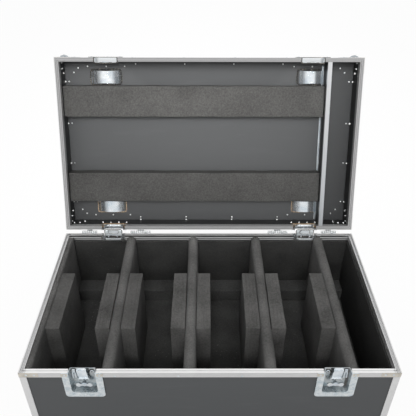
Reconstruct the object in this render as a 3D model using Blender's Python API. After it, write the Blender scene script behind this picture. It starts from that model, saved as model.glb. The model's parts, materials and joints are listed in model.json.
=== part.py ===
"""Flight case for four lighting fixtures, standing open on its castors.

Metres, +Z up, +Y to the back. The origin is on the floor, under the middle
of the open case's bounding box. Inside the two half frames below, z = 0 is
the rim plane of that half, x = 0 the middle of the case and y = 0 the middle
of its depth. The word inset is a distance inward from the outer face.
"""

import math

import bmesh
import bpy
from mathutils import Matrix, Vector

# Case
CASE_LENGTH = 1.200
CASE_DEPTH = 0.697
BASE_INNER_DEPTH = 0.305
LID_INNER_DEPTH = 0.108
OPEN_ANGLE_DEG = 110.3
PLY = 0.009
GAP = 0.0003
OVERRUN = 0.004

# Aluminium edges and rims
METAL = 0.002
EDGE_LEG = 0.022
BALL_RADIUS = 0.024
BALL_INSET = 0.012
RIM_WIDTH = 0.016
RIM_FLANGE = 0.022
RIM_LIP = 0.026
RIM_TOP = 0.0056
RIM_CLEARANCE = 0.001
GROOVE_WIDTH = 0.005
GROOVE_DEPTH = 0.0036
TONGUE_WIDTH = 0.003
TONGUE_HEIGHT = 0.003
LIP_LINE = 0.001
LIP_LINE_SHARES = (1 / 3, 2 / 3)

# Foam in the base
LINING = 0.010
LEFT_LINING = 0.0234
FOAM_DROP = 0.002
DIVIDER = 0.039
CABLE_BAY = 0.147
DIVIDER_COUNT = 4
BLOCK = 0.049
BLOCK_LENGTH = 0.2755
BLOCK_BACK = 0.234
BLOCK_DROP = 0.008
BLOCK_LAYERS = 4
LAYER_LINE = 0.0012
STRIP_WIDTH = 0.067
STRIP_HEIGHT = 0.0595

# Foam and divider in the lid
BAR_WIDTH = 0.123
BAR_THICK = 0.060
BAR_FROM_SIDE = 0.171
BAR_ROUND = 0.006
LID_DIVIDER_FROM_END = 0.1314
LID_DIVIDER = 0.009
LID_DIVIDER_DROP = 0.001
CAP_WALL = 0.0035
CAP_HEIGHT = 0.016

# Castors and the dishes that they stack in
CASTOR_HEIGHT = 0.128
CASTOR_FROM_END = 0.178
CASTOR_FROM_SIDE = 0.0765
WHEEL_RADIUS_SHARE = 0.390625
WHEEL_WIDTH = 0.034
WHEEL_SHOULDER = 0.005
WHEEL_WEB = 0.012
TYRE_THICK = 0.012
HUB_RADIUS = 0.017
HUB_WIDTH = 0.038
AXLE_RADIUS = 0.006
AXLE_HEAD_RADIUS = 0.0105
AXLE_HEAD = 0.006
TRAIL = 0.035
PLATE_LENGTH = 0.105
PLATE_WIDTH = 0.085
PLATE_THICK = 0.003
PLATE_CORNER = 0.010
RACE_RADIUS = 0.030
RACE_HEIGHT = 0.006
FORK_THICK = 0.004
LEG_THICK = 0.003
LEG_END_RADIUS = 0.014
LEG_HEAD_SHARE = 0.7
KINGPIN_RADIUS = 0.006
NUT_RADIUS = 0.011
NUT_HEIGHT = 0.006
NUT_SIDE_COUNT = 6
TROUGH_HALF_LENGTH = 0.058
TROUGH_DEPTH = 0.030
TROUGH_HALF_TOP = 0.027
TROUGH_HALF_BOTTOM = 0.0225
TROUGH_STEP = 0.0015
TROUGH_HOLE_X = 0.124
TROUGH_HOLE_Y = 0.060
TROUGH_FLANGE_X = 0.172
TROUGH_FLANGE_Y = 0.108
SHEET = 0.0015

# Butterfly latches and their catches
LATCH_FROM_END = 0.198
LATCH_HALF = 0.044
LATCH_HEIGHT = 0.100
LATCH_DEPTH = 0.0205
LATCH_TAPER = 0.004
LATCH_FLANGE = 0.020
LATCH_CORNER = 0.012
CATCH_HALF = 0.046
CATCH_HEIGHT = 0.045
KEEPER_HALF = 0.024
KEEPER_REACH = 0.005
KEEPER_LOW = 0.003
KEEPER_HIGH = 0.008
HOOK_HALF = 0.015
HOOK_THICK = 0.003
HOOK_PIVOT_DROP = 0.040
HOOK_INSET = 0.012
HOOK_RISE = 0.0125
HOOK_NOSE = 0.005
HOOK_BARREL_RADIUS = 0.005
HOOK_PIN_RADIUS = 0.003
HOOK_RELEASE_DEG = 12.0
EAR_THICK = 0.003
EAR_HALF_HEIGHT = 0.006
WING_DROP = 0.064
WING_HALF = 0.027
WING_WIDTH = 0.020
WING_THICK = 0.004
WING_INSET = 0.0025
WING_HUB_RADIUS = 0.009
WING_SHAFT_RADIUS = 0.004

# Spring handles in the short sides
HANDLE_DROP = 0.150
HANDLE_HALF_LENGTH = 0.078
HANDLE_HALF_HEIGHT = 0.045
HANDLE_DEPTH = 0.014
HANDLE_TAPER = 0.003
HANDLE_FLANGE = 0.014
HANDLE_CORNER = 0.012
BAIL_HALF = 0.055
BAIL_DROP = 0.052
BAIL_ROD = 0.004
BAIL_BEND = 0.012
BAIL_GRIP_RADIUS = 0.0052
BAIL_GRIP_HALF = 0.036
BAIL_PIVOT_RISE = 0.028
BAIL_STUB = 0.010

# Hinges and lid stays at the back
PIVOT_OUT = 0.010
KNUCKLE_RADIUS = 0.005
HINGE_PIN_RADIUS = 0.0025
KNUCKLE_GAP = 0.0004
KNUCKLE_COUNT = 3
HINGE_NEAR = 0.071
HINGE_INNER_LENGTH = 0.084
HINGE_OUTER_LENGTH = 0.062
HINGE_OUTER_NEAR = 0.070
STRAP_THICK = 0.002
STRAP_START = 0.0075
STRAP_END = 0.044
STRAP_WEB = 0.0035
KNUCKLE_WEB_SHARE = 0.9
STAY_FROM_END = 0.198
STAY_HALF = 0.0425
STAY_HEIGHT = 0.0225
STAY_ROOM = 0.006
STAY_ARCH = 0.0125
STAY_FLANGE = 0.005
STAY_DEPTH = 0.015
STAY_TAPER = 0.004
STAY_CORNER = 0.006
STOP_HALF = 0.012
STOP_THICK = 0.002

ROUND_SEGMENTS = 16
WHEEL_SEGMENTS = 28
ARC_STEPS = 4
TROUGH_STEPS = 22
BALL_SUBDIVISION_COUNT = 2
TREAD_STEPS = 2
SMOOTH_DEG = 30
BAIL_SMOOTH_DEG = 40

HALF_LENGTH = CASE_LENGTH / 2
HALF_DEPTH = CASE_DEPTH / 2
SKIN = METAL + GAP
PLY_FACE = SKIN + PLY
LINE_FACE = PLY_FACE + GAP
FLOOR_Z = -BASE_INNER_DEPTH
BASE_BOTTOM = FLOOR_Z - LINING - GAP - PLY - SKIN
RIM_Z = CASTOR_HEIGHT + GAP - (BASE_BOTTOM + SKIN)
LID_TOP = LID_INNER_DEPTH + PLY + SKIN
OPEN_ANGLE = math.radians(OPEN_ANGLE_DEG)
PIVOT_Y = HALF_DEPTH + PIVOT_OUT
PIVOT_Z = RIM_CLEARANCE / 2
FLANGE_Y = HALF_DEPTH + GAP
DISH_FACE = LID_TOP - SKIN + GAP + SHEET
LINE_DEPTH = HALF_DEPTH - LINE_FACE - LINING
DIVIDER_Y = HALF_DEPTH - RIM_WIDTH - GAP
LEFT_FACE = -HALF_LENGTH + LINE_FACE + LEFT_LINING
DIVIDER_LAST_X = HALF_LENGTH - CABLE_BAY
BAY_WIDTH = (DIVIDER_LAST_X + DIVIDER / 2 - LEFT_FACE) / DIVIDER_COUNT
BAR_Y = HALF_DEPTH - BAR_FROM_SIDE
LID_DIVIDER_X = HALF_LENGTH - LID_DIVIDER_FROM_END
CASTOR_X = HALF_LENGTH - CASTOR_FROM_END
CASTOR_Y = HALF_DEPTH - CASTOR_FROM_SIDE
WHEEL_RADIUS = CASTOR_HEIGHT * WHEEL_RADIUS_SHARE
LATCH_X = HALF_LENGTH - LATCH_FROM_END
STAY_X = HALF_LENGTH - STAY_FROM_END
HINGE_INNER_END = STAY_X - HINGE_NEAR
HINGE_INNER_START = HINGE_INNER_END - HINGE_INNER_LENGTH
HINGE_OUTER_START = STAY_X + HINGE_OUTER_NEAR
HINGE_OUTER_END = HINGE_OUTER_START + HINGE_OUTER_LENGTH


def lid_reach():
    """Return how far behind the case's middle the open lid's ball corners reach."""
    ball_y = -HALF_DEPTH + BALL_INSET - PIVOT_Y
    ball_z = LID_TOP - BALL_INSET + PIVOT_Z
    turned = ball_y * math.cos(OPEN_ANGLE) + ball_z * math.sin(OPEN_ANGLE)
    return PIVOT_Y + turned + BALL_RADIUS


FRONT_REACH = HALF_DEPTH - BALL_INSET + BALL_RADIUS
CASE_Y = (FRONT_REACH - lid_reach()) / 2


def clear_scene():
    """Remove every object of the scene."""
    for old in list(bpy.data.objects):
        bpy.data.objects.remove(old)


def material(name, colour, roughness, metallic):
    """Make a Principled material."""
    made = bpy.data.materials.new(name)
    made.use_nodes = True
    shader = made.node_tree.nodes["Principled BSDF"]
    shader.inputs["Base Color"].default_value = (*colour, 1.0)
    shader.inputs["Roughness"].default_value = roughness
    shader.inputs["Metallic"].default_value = metallic
    made.diffuse_color = (*colour, 1.0)
    return made


def body(name, points, faces):
    """Make an object from points and faces, with its faces pointing out."""
    mesh = bpy.data.meshes.new(name)
    shape = bmesh.new()
    corners = [shape.verts.new(point) for point in points]
    for face in faces:
        shape.faces.new([corners[index] for index in face])
    bmesh.ops.recalc_face_normals(shape, faces=shape.faces)
    shape.to_mesh(mesh)
    shape.free()
    made = bpy.data.objects.new(name, mesh)
    bpy.context.scene.collection.objects.link(made)
    return made


def loft(name, loops):
    """Join loops of equal length by quads and cap both ends."""
    count = len(loops[0])
    points = [point for loop in loops for point in loop]
    faces = [tuple(range(count)), tuple(range(len(points) - count, len(points)))]
    for step in range(len(loops) - 1):
        for index in range(count):
            following = (index + 1) % count
            low = step * count
            high = low + count
            faces.append((low + index, low + following, high + following, high + index))
    return body(name, points, faces)


def closed_ring(name, loops):
    """Join loops of equal length by quads, the last one to the first."""
    count = len(loops[0])
    points = [point for loop in loops for point in loop]
    faces = []
    for step in range(len(loops)):
        low = step * count
        high = (step + 1) % len(loops) * count
        for index in range(count):
            following = (index + 1) % count
            faces.append((low + index, low + following, high + following, high + index))
    return body(name, points, faces)


def box(name, low, high):
    """Make a box between two corners."""
    x0, y0, z0 = low
    x1, y1, z1 = high
    loops = [[(x0, y0, z), (x1, y0, z), (x1, y1, z), (x0, y1, z)] for z in (z0, z1)]
    return loft(name, loops)


def prism(name, outline, start, end, axis):
    """Carry a flat outline from start to end along the named axis."""
    makers = {
        "x": lambda u, v, along: (along, u, v),
        "y": lambda u, v, along: (u, along, v),
        "z": lambda u, v, along: (u, v, along),
    }
    place = makers[axis]
    return loft(name, [[place(u, v, along) for u, v in outline] for along in (start, end)])


def arc(centre, radius, first_deg, last_deg, steps):
    """Return points along an arc."""
    span = math.radians(last_deg - first_deg)
    first = math.radians(first_deg)
    angles = [first + span * step / steps for step in range(steps + 1)]
    return [(centre[0] + radius * math.cos(a), centre[1] + radius * math.sin(a)) for a in angles]


def disc(centre, radius, segments=ROUND_SEGMENTS):
    """Return a round outline."""
    return arc(centre, radius, 0, 360, segments)[:-1]


def rounded(low_u, high_u, low_v, high_v, radius):
    """Return a rectangle with four round corners."""
    corners = (
        ((high_u - radius, high_v - radius), 0),
        ((low_u + radius, high_v - radius), 90),
        ((low_u + radius, low_v + radius), 180),
        ((high_u - radius, low_v + radius), 270),
    )
    outline = []
    for centre, first in corners:
        outline += arc(centre, radius, first, first + 90, ARC_STEPS)
    return outline


def cylinder(name, centre, radius, start, end, axis, segments=ROUND_SEGMENTS):
    """Make a round bar along an axis."""
    return prism(name, disc(centre, radius, segments), start, end, axis)


def turned(name, profile, segments):
    """Turn a closed profile of (radius, along) about the Y axis."""
    loops = []
    for step in range(segments):
        angle = math.tau * step / segments
        loops.append([(r * math.cos(angle), along, r * math.sin(angle)) for r, along in profile])
    return closed_ring(name, loops)


def moved(made, shift):
    """Move a piece's mesh by a shift."""
    made.data.transform(Matrix.Translation(shift))
    return made


def combine(made, tool, operation):
    """Apply one Boolean to an object and remove the tool."""
    modifier = made.modifiers.new(operation.title(), "BOOLEAN")
    modifier.operation = operation
    modifier.object = tool
    bpy.context.view_layer.update()
    graph = bpy.context.evaluated_depsgraph_get()
    result = bpy.data.meshes.new_from_object(made.evaluated_get(graph))
    made.modifiers.clear()
    made.data = result
    bpy.data.objects.remove(tool)
    return made


def cut(made, *tools):
    """Take each tool away from an object."""
    for tool in tools:
        combine(made, tool, "DIFFERENCE")
    return made


def fuse(made, *tools):
    """Join each tool to an object."""
    for tool in tools:
        combine(made, tool, "UNION")
    return made


def finish(made, finish_material, parent, place=(0, 0, 0), smooth_deg=None):
    """Give a piece its material, parent and place."""
    made.data.materials.clear()
    made.data.materials.append(finish_material)
    if smooth_deg is not None:
        made.data.shade_smooth()
        made.data.set_sharp_from_angle(angle=math.radians(smooth_deg))
    made.parent = parent
    made.location = place
    return made


def empty(name, place, parent=None, turn_x=0):
    """Make a frame that pieces hang on."""
    made = bpy.data.objects.new(name, None)
    made.location = place
    made.rotation_euler = (turn_x, 0, 0)
    made.parent = parent
    bpy.context.scene.collection.objects.link(made)
    return made


def inset_box(name, inset, low_z, high_z):
    """Make a box that stays the same inset away from all four sides."""
    x = HALF_LENGTH - inset
    y = HALF_DEPTH - inset
    return box(name, (-x, -y, low_z), (x, y, high_z))


def spread(centre, half):
    """Return the two ends of a span about a centre."""
    return centre - half, centre + half


def ply_shell(name, sign, outer_z, inner_z):
    """Make a ply box that is open at the rim plane: sign is 1 up, -1 down."""
    rim = sign * (RIM_TOP + GAP)
    made = inset_box(name, SKIN, *sorted((rim, outer_z - sign * SKIN)))
    return cut(made, inset_box("cavity", PLY_FACE, *sorted((inner_z, -sign * OVERRUN))))


def wall_cut(centre_x, half, height, side, sign):
    """Make a cutter through a long wall from beyond the rim plane inward."""
    x0, x1 = spread(centre_x, half)
    z0, z1 = sorted((-sign * OVERRUN, sign * height))
    y0, y1 = sorted((side * (HALF_DEPTH + OVERRUN), side * (HALF_DEPTH - RIM_WIDTH - OVERRUN)))
    return box("wall_cut", (x0, y0, z0), (x1, y1, z1))


def stay_cuts(sign, above):
    """Return cutters for the two lid stays that reach a given way above their dishes."""
    cutters = []
    z0, z1 = sorted((-sign * STAY_ROOM * 2, sign * (STAY_HEIGHT + above)))
    y0 = HALF_DEPTH - RIM_WIDTH - OVERRUN
    for side in (-1, 1):
        x0, x1 = spread(side * STAY_X, STAY_HALF + STAY_ROOM)
        outline = rounded(x0, x1, z0, z1, STAY_CORNER)
        cutters.append(prism("stay_cut", outline, y0, HALF_DEPTH + OVERRUN, "y"))
    return cutters


def front_cuts(sign, half, height):
    """Return the cutters for the two dishes in the front wall."""
    return [wall_cut(side * LATCH_X, half + GAP, height + GAP, -1, sign) for side in (-1, 1)]


def rim_section(grooved):
    """Return the rim extrusion's section as (inset, height above the rim plane)."""
    middle = RIM_WIDTH / 2
    if grooved:
        half = GROOVE_WIDTH / 2
        reach = -GROOVE_DEPTH
    else:
        half = TONGUE_WIDTH / 2
        reach = TONGUE_HEIGHT
    lip_face = PLY_FACE + GAP
    section = [(0, -RIM_FLANGE), (0, 0), (middle - half, 0), (middle - half, reach)]
    section += [(middle + half, reach), (middle + half, 0), (RIM_WIDTH, 0)]
    for share in LIP_LINE_SHARES:
        line_z = -RIM_LIP * share
        section += [(RIM_WIDTH, line_z + LIP_LINE), (RIM_WIDTH - LIP_LINE, line_z)]
        section += [(RIM_WIDTH, line_z - LIP_LINE)]
    section += [(RIM_WIDTH, -RIM_LIP), (lip_face, -RIM_LIP), (lip_face, -RIM_TOP)]
    return section + [(METAL, -RIM_TOP), (METAL, -RIM_FLANGE)]


def rim_ring(name, sign, grooved):
    """Carry the rim section round the case with mitred corners."""
    loops = []
    for corner_x, corner_y in ((-1, -1), (1, -1), (1, 1), (-1, 1)):
        loop = []
        for inset, height in rim_section(grooved):
            x = corner_x * (HALF_LENGTH - inset)
            y = corner_y * (HALF_DEPTH - inset)
            loop.append((x, y, -sign * height))
        loops.append(loop)
    return closed_ring(name, loops)


def rim_profile(name, sign, grooved, front_half):
    """Make the rim extrusion of the back, the sides and the two front ends."""
    made = rim_ring(name, sign, grooved)
    cut(made, *stay_cuts(sign, GAP))
    return cut(made, wall_cut(0, LATCH_X + front_half + GAP, RIM_LIP + OVERRUN, -1, sign))


def rim_front(name, sign, grooved, front_half):
    """Make the rim extrusion that runs between the two front dishes."""
    reach = LATCH_X - front_half - GAP
    outline = [(inset - HALF_DEPTH, -sign * height) for inset, height in rim_section(grooved)]
    return prism(name, outline, -reach, reach, "x")


def ball(corner_x, corner_y, centre_z):
    """Make the ball of a corner fitting."""
    shape = bmesh.new()
    bmesh.ops.create_icosphere(shape, subdivisions=BALL_SUBDIVISION_COUNT, radius=BALL_RADIUS)
    x = corner_x * (HALF_LENGTH - BALL_INSET)
    y = corner_y * (HALF_DEPTH - BALL_INSET)
    bmesh.ops.translate(shape, verts=shape.verts, vec=(x, y, centre_z))
    mesh = bpy.data.meshes.new("ball")
    shape.to_mesh(mesh)
    shape.free()
    made = bpy.data.objects.new("ball", mesh)
    bpy.context.scene.collection.objects.link(made)
    return made


def edge_frame(name, sign, outer_z):
    """Make the angle extrusions and ball corners of one half as one piece."""
    rim = sign * (RIM_FLANGE + GAP)
    made = inset_box(name, 0, *sorted((rim, outer_z)))
    x = HALF_LENGTH - EDGE_LEG
    y = HALF_DEPTH - EDGE_LEG
    z0, z1 = sorted((outer_z - sign * EDGE_LEG, rim - sign * OVERRUN))
    far_x = HALF_LENGTH + OVERRUN
    far_y = HALF_DEPTH + OVERRUN
    cut(made, box("long_window", (-x, -far_y, z0), (x, far_y, z1)))
    cut(made, box("short_window", (-far_x, -y, z0), (far_x, y, z1)))
    z0, z1 = sorted((outer_z + sign * OVERRUN, outer_z - sign * (METAL + OVERRUN)))
    cut(made, box("flat_window", (-x, -y, z0), (x, y, z1)))
    for corner_x in (-1, 1):
        for corner_y in (-1, 1):
            fuse(made, ball(corner_x, corner_y, outer_z - sign * BALL_INSET))
    inner_z = outer_z - sign * METAL
    return cut(made, inset_box("hollow", METAL, *sorted((inner_z, rim - sign * OVERRUN))))


def cup_outline(half, height, corner, sign):
    """Return the outline of a dish that is open past the rim plane."""
    outline = [(half, -OVERRUN)]
    outline += arc((half - corner, height - corner), corner, 0, 90, ARC_STEPS)
    outline += arc((corner - half, height - corner), corner, 90, 180, ARC_STEPS)
    outline += [(-half, -OVERRUN)]
    return [(u, sign * v) for u, v in outline]


def cup_solid(name, half, height, taper, corner, sign, near, far):
    """Loft a tapering dish between two depths of the wall."""
    loops = []
    for along, shrink in ((near, 0), (far, taper)):
        outline = cup_outline(half - shrink, height - shrink, corner, sign)
        loops.append([(u, along, v) for u, v in outline])
    return loft(name, loops)


def rim_trim(name, half, sign):
    """Make a cutter that ends a dish just at the rim plane."""
    z0, z1 = sorted((0, -sign * 2 * OVERRUN))
    reach = HALF_DEPTH + OVERRUN
    return box(name, (-half, -reach, z0), (half, reach, z1))


def front_dish(name, half, height, sign):
    """Make a stamped dish for the front wall, its flange outside the rim extrusion."""
    face = -(FLANGE_Y + SHEET)
    back = -(HALF_DEPTH - LATCH_DEPTH)
    tall = height + LATCH_FLANGE
    wide = half + LATCH_FLANGE
    made = cup_solid(name, half, height, LATCH_TAPER, LATCH_CORNER, sign, -FLANGE_Y, back)
    fuse(made, cup_solid("flange", wide, tall, 0, LATCH_CORNER, sign, -FLANGE_Y, face))
    inner = (half - SHEET, height - SHEET, LATCH_TAPER, LATCH_CORNER, sign)
    cut(made, cup_solid("inside", *inner, face - OVERRUN, back - SHEET))
    return cut(made, rim_trim("trim", wide + OVERRUN, sign))


def latch_dish(name):
    """Make the latch dish with the two ears that carry the hook."""
    made = front_dish(name, LATCH_HALF, LATCH_HEIGHT, -1)
    back = -(HALF_DEPTH - LATCH_DEPTH + SHEET / 2)
    front = -(HALF_DEPTH - HOOK_INSET + HOOK_BARREL_RADIUS)
    low, high = spread(-HOOK_PIVOT_DROP, EAR_HALF_HEIGHT)
    inner = HOOK_HALF + GAP
    for side in (-1, 1):
        x0, x1 = sorted((side * inner, side * (inner + EAR_THICK)))
        fuse(made, box("ear", (x0, front, low), (x1, back, high)))
    centre = (-(HALF_DEPTH - HOOK_INSET), -HOOK_PIVOT_DROP)
    reach = inner + EAR_THICK + OVERRUN
    return cut(made, cylinder("ear_bore", centre, HOOK_PIN_RADIUS + GAP, -reach, reach, "x"))


def catch_dish(name):
    """Make the lid's catch dish with the keeper bar that the hook grips."""
    made = front_dish(name, CATCH_HALF, CATCH_HEIGHT, 1)
    back = -(HALF_DEPTH - LATCH_DEPTH + SHEET / 2)
    front = back - KEEPER_REACH
    bar = box("keeper", (-KEEPER_HALF, front, KEEPER_LOW), (KEEPER_HALF, back, KEEPER_HIGH))
    return fuse(made, bar)


def latch_hook(name):
    """Make the hook about its pivot: z is up the hook, +y points inward."""
    rise = HOOK_PIVOT_DROP + HOOK_RISE
    half = HOOK_THICK / 2
    outline = [(-half, 0), (half, 0), (half, rise - HOOK_THICK), (half + HOOK_NOSE, rise - HOOK_THICK)]
    outline += [(half + HOOK_NOSE, rise - half), (half + HOOK_NOSE - half, rise), (-half, rise)]
    made = prism(name, outline, -HOOK_HALF, HOOK_HALF, "x")
    fuse(made, cylinder("barrel", (0, 0), HOOK_BARREL_RADIUS, -HOOK_HALF, HOOK_HALF, "x"))
    reach = HOOK_HALF + GAP + EAR_THICK
    return fuse(made, cylinder("pin", (0, 0), HOOK_PIN_RADIUS, -reach, reach, "x"))


def latch_handle(name):
    """Make the butterfly handle about its shaft: -y points out of the case."""
    face = WING_INSET
    back = LATCH_DEPTH - SHEET - GAP
    half = WING_WIDTH / 2
    waist = WING_HUB_RADIUS / 2
    outline = [(0, waist), (WING_HUB_RADIUS, waist), (WING_HALF - half, half)]
    outline += arc((WING_HALF - half, 0), half, 90, -90, ARC_STEPS)[1:]
    outline += [(WING_HUB_RADIUS, -waist), (0, -waist)]
    mirrored = [(-u, -v) for u, v in outline[1:-1]]
    made = prism(name, outline + mirrored, face, face + WING_THICK, "y")
    hub_end = face + 2 * WING_THICK
    fuse(made, cylinder("hub", (0, 0), WING_HUB_RADIUS, face + WING_THICK / 2, hub_end, "y"))
    return fuse(made, cylinder("shaft", (0, 0), WING_SHAFT_RADIUS, hub_end - WING_THICK / 2, back, "y"))


def handle_plate(name, side, grow, near, far, shrink):
    """Loft a round-cornered layer of a side handle's dish between two insets."""
    loops = []
    for along, less in ((near, 0), (far, shrink)):
        half_y = HANDLE_HALF_LENGTH + grow - less
        half_z = HANDLE_HALF_HEIGHT + grow - less
        outline = rounded(-half_y, half_y, -half_z, half_z, HANDLE_CORNER)
        loops.append([(side * (HALF_LENGTH - along), u, v) for u, v in outline])
    return loft(name, loops)


def handle_dish(name, side):
    """Make a side handle's dish with the two bosses that carry the bail."""
    face = SKIN - GAP - SHEET
    seat = face + SHEET
    back = face + HANDLE_DEPTH
    made = handle_plate(name, side, 0, face, back, HANDLE_TAPER)
    fuse(made, handle_plate("flange", side, HANDLE_FLANGE, face, seat, 0))
    inside = handle_plate("inside", side, -SHEET, face - OVERRUN, back - SHEET, HANDLE_TAPER)
    cut(made, inside)
    middle = (face + back - SHEET) / 2
    for end in (-1, 1):
        y0, y1 = sorted((end * (BAIL_HALF + BAIL_ROD + GAP), end * (BAIL_HALF + BAIL_ROD + BAIL_STUB)))
        x0, x1 = sorted((side * (HALF_LENGTH - face), side * (HALF_LENGTH - back + SHEET / 2)))
        z0, z1 = spread(BAIL_PIVOT_RISE, 2 * BAIL_ROD)
        fuse(made, box("boss", (x0, y0, z0), (x1, y1, z1)))
    centre = (side * (HALF_LENGTH - middle), BAIL_PIVOT_RISE)
    reach = BAIL_HALF + BAIL_STUB
    return cut(made, cylinder("boss_bore", centre, BAIL_ROD + GAP, -reach, reach, "y"))


def bail_path():
    """Return the bail's centre line in its plane as (y, z), from end to end."""
    path = [(-BAIL_HALF, 0)]
    path += arc((BAIL_BEND - BAIL_HALF, BAIL_BEND - BAIL_DROP), BAIL_BEND, 180, 270, ARC_STEPS)
    path += arc((BAIL_HALF - BAIL_BEND, BAIL_BEND - BAIL_DROP), BAIL_BEND, 270, 360, ARC_STEPS)
    return path + [(BAIL_HALF, 0)]


def handle_bail(name):
    """Sweep the bail rod along its path and add its pivot stubs and grip."""
    path = bail_path()
    loops = []
    for index, (y, z) in enumerate(path):
        before = path[max(index - 1, 0)]
        after = path[min(index + 1, len(path) - 1)]
        along = Vector((0, after[0] - before[0], after[1] - before[1])).normalized()
        across = Vector((1, 0, 0))
        up = along.cross(across)
        ring = []
        for u, v in disc((0, 0), BAIL_ROD, ARC_STEPS * 2):
            ring.append(Vector((0, y, z)) + across * u + up * v)
        loops.append(ring)
    made = loft(name, loops)
    reach = BAIL_HALF + BAIL_STUB - GAP
    for end in (-1, 1):
        y0, y1 = sorted((end * (BAIL_HALF - BAIL_ROD / 2), end * reach))
        fuse(made, cylinder("stub", (0, 0), BAIL_ROD, y0, y1, "y"))
    grip = cylinder("grip", (0, -BAIL_DROP), BAIL_GRIP_RADIUS, -BAIL_GRIP_HALF, BAIL_GRIP_HALF, "y")
    return fuse(made, grip)


def stay_cup(label, shrink, sign, near, back):
    """Loft the body of a lid stay's dish about the middle of the case."""
    half = STAY_HALF - shrink
    height = STAY_HEIGHT - shrink
    return cup_solid(label, half, height, STAY_TAPER, STAY_CORNER, sign, near, back)


def knuckle(sign, low, high):
    """Make one knuckle with the web that joins it to its strap."""
    face = HALF_DEPTH + GAP
    pivot_z = -sign * RIM_CLEARANCE / 2
    web = [(face, sign * (STRAP_START + STRAP_WEB)), (face, sign * STRAP_START)]
    web += [(PIVOT_Y - KNUCKLE_RADIUS / 2, pivot_z + sign * KNUCKLE_RADIUS / 4)]
    web += [(PIVOT_Y + KNUCKLE_RADIUS / 4, pivot_z + sign * KNUCKLE_RADIUS * KNUCKLE_WEB_SHARE)]
    web += [(face + STRAP_THICK, sign * (STRAP_START + STRAP_WEB))]
    made = prism("web", web, low, high, "x")
    return fuse(made, cylinder("barrel", (PIVOT_Y, pivot_z), KNUCKLE_RADIUS, low, high, "x"))


def knuckle_spans(sign):
    """Return where one half's knuckles start and end along the pin."""
    spans = []
    for start, end in ((HINGE_INNER_START, HINGE_INNER_END), (HINGE_OUTER_START, HINGE_OUTER_END)):
        third = (end - start) / KNUCKLE_COUNT
        if sign < 0:
            spans.append((start, start + third - KNUCKLE_GAP))
            spans.append((end - third + KNUCKLE_GAP, end))
        else:
            spans.append((start + third, end - third))
    return spans


def hinge_pins(label, sign, side, radius):
    """Make the two hinge pins, or the cutters for their bores."""
    pins = []
    pivot = (PIVOT_Y, -sign * RIM_CLEARANCE / 2)
    for start, end in ((HINGE_INNER_START, HINGE_INNER_END), (HINGE_OUTER_START, HINGE_OUTER_END)):
        low, high = sorted((side * start, side * end))
        pins.append(cylinder(label, pivot, radius, low, high, "x", ROUND_SEGMENTS // 2))
    return pins


def hinge_stay(name, sign, side):
    """Make half a stay hinge: a strap, its knuckles, a recessed dish and a stop."""
    face = HALF_DEPTH + GAP
    outside = face + STRAP_THICK
    back = HALF_DEPTH - STAY_DEPTH
    x0, x1 = sorted((side * HINGE_INNER_START, side * HINGE_OUTER_END))
    z0, z1 = sorted((sign * STRAP_START, sign * STRAP_END))
    made = box(name, (x0, face, z0), (x1, outside, z1))
    shift = (side * STAY_X, 0, 0)
    reach = STAY_HALF + STAY_ROOM + STAY_FLANGE
    z0, z1 = sorted((sign * GAP, sign * (STRAP_START + STRAP_WEB)))
    fuse(made, moved(box("flange", (-reach, face, z0), (reach, outside, z1)), shift))
    fuse(made, moved(stay_cup("cup", 0, sign, outside, back), shift))
    cut(made, moved(stay_cup("inside", SHEET, sign, outside + OVERRUN, back + SHEET), shift))
    cut(made, moved(rim_trim("trim", STAY_HALF + OVERRUN, sign), shift))
    z0, z1 = sorted((0, sign * (STAY_HEIGHT - SHEET / 2)))
    stop_face = back + SHEET + STOP_THICK
    stop = box("stop", (-STOP_HALF, back + SHEET / 2, z0), (STOP_HALF, stop_face, z1))
    fuse(made, moved(stop, shift))
    for span in knuckle_spans(sign):
        fuse(made, knuckle(sign, *sorted((side * span[0], side * span[1]))))
    if sign < 0:
        return fuse(made, *hinge_pins("pin", sign, side, HINGE_PIN_RADIUS))
    return cut(made, *hinge_pins("bore", sign, side, HINGE_PIN_RADIUS + GAP))


def trough(name, grow, top):
    """Make the round-bottomed body of a castor dish: z falls from top into the lid."""
    half_length = TROUGH_HALF_LENGTH + grow
    depth = TROUGH_DEPTH + grow
    radius = (half_length ** 2 + depth ** 2) / (2 * depth)
    loops = []
    for step in range(TROUGH_STEPS + 1):
        x = half_length * (2 * step / TROUGH_STEPS - 1)
        fall = math.sqrt(radius ** 2 - x ** 2) - (radius - depth) + TROUGH_STEP
        share = fall / (depth + TROUGH_STEP)
        top_y = TROUGH_HALF_TOP + grow
        low_y = top_y + (TROUGH_HALF_BOTTOM - TROUGH_HALF_TOP) * share
        loops.append([(x, top_y, top), (x, low_y, -fall), (x, -low_y, -fall), (x, -top_y, top)])
    return loft(name, loops)


def castor_dish(name):
    """Make a castor dish about the outer face of its flange."""
    made = trough(name, SHEET, -SHEET / 2)
    x = TROUGH_FLANGE_X / 2
    y = TROUGH_FLANGE_Y / 2
    outline = rounded(-x, x, -y, y, PLATE_CORNER)
    fuse(made, prism("flange", outline, -SHEET, 0, "z"))
    return cut(made, trough("inside", 0, OVERRUN))


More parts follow.
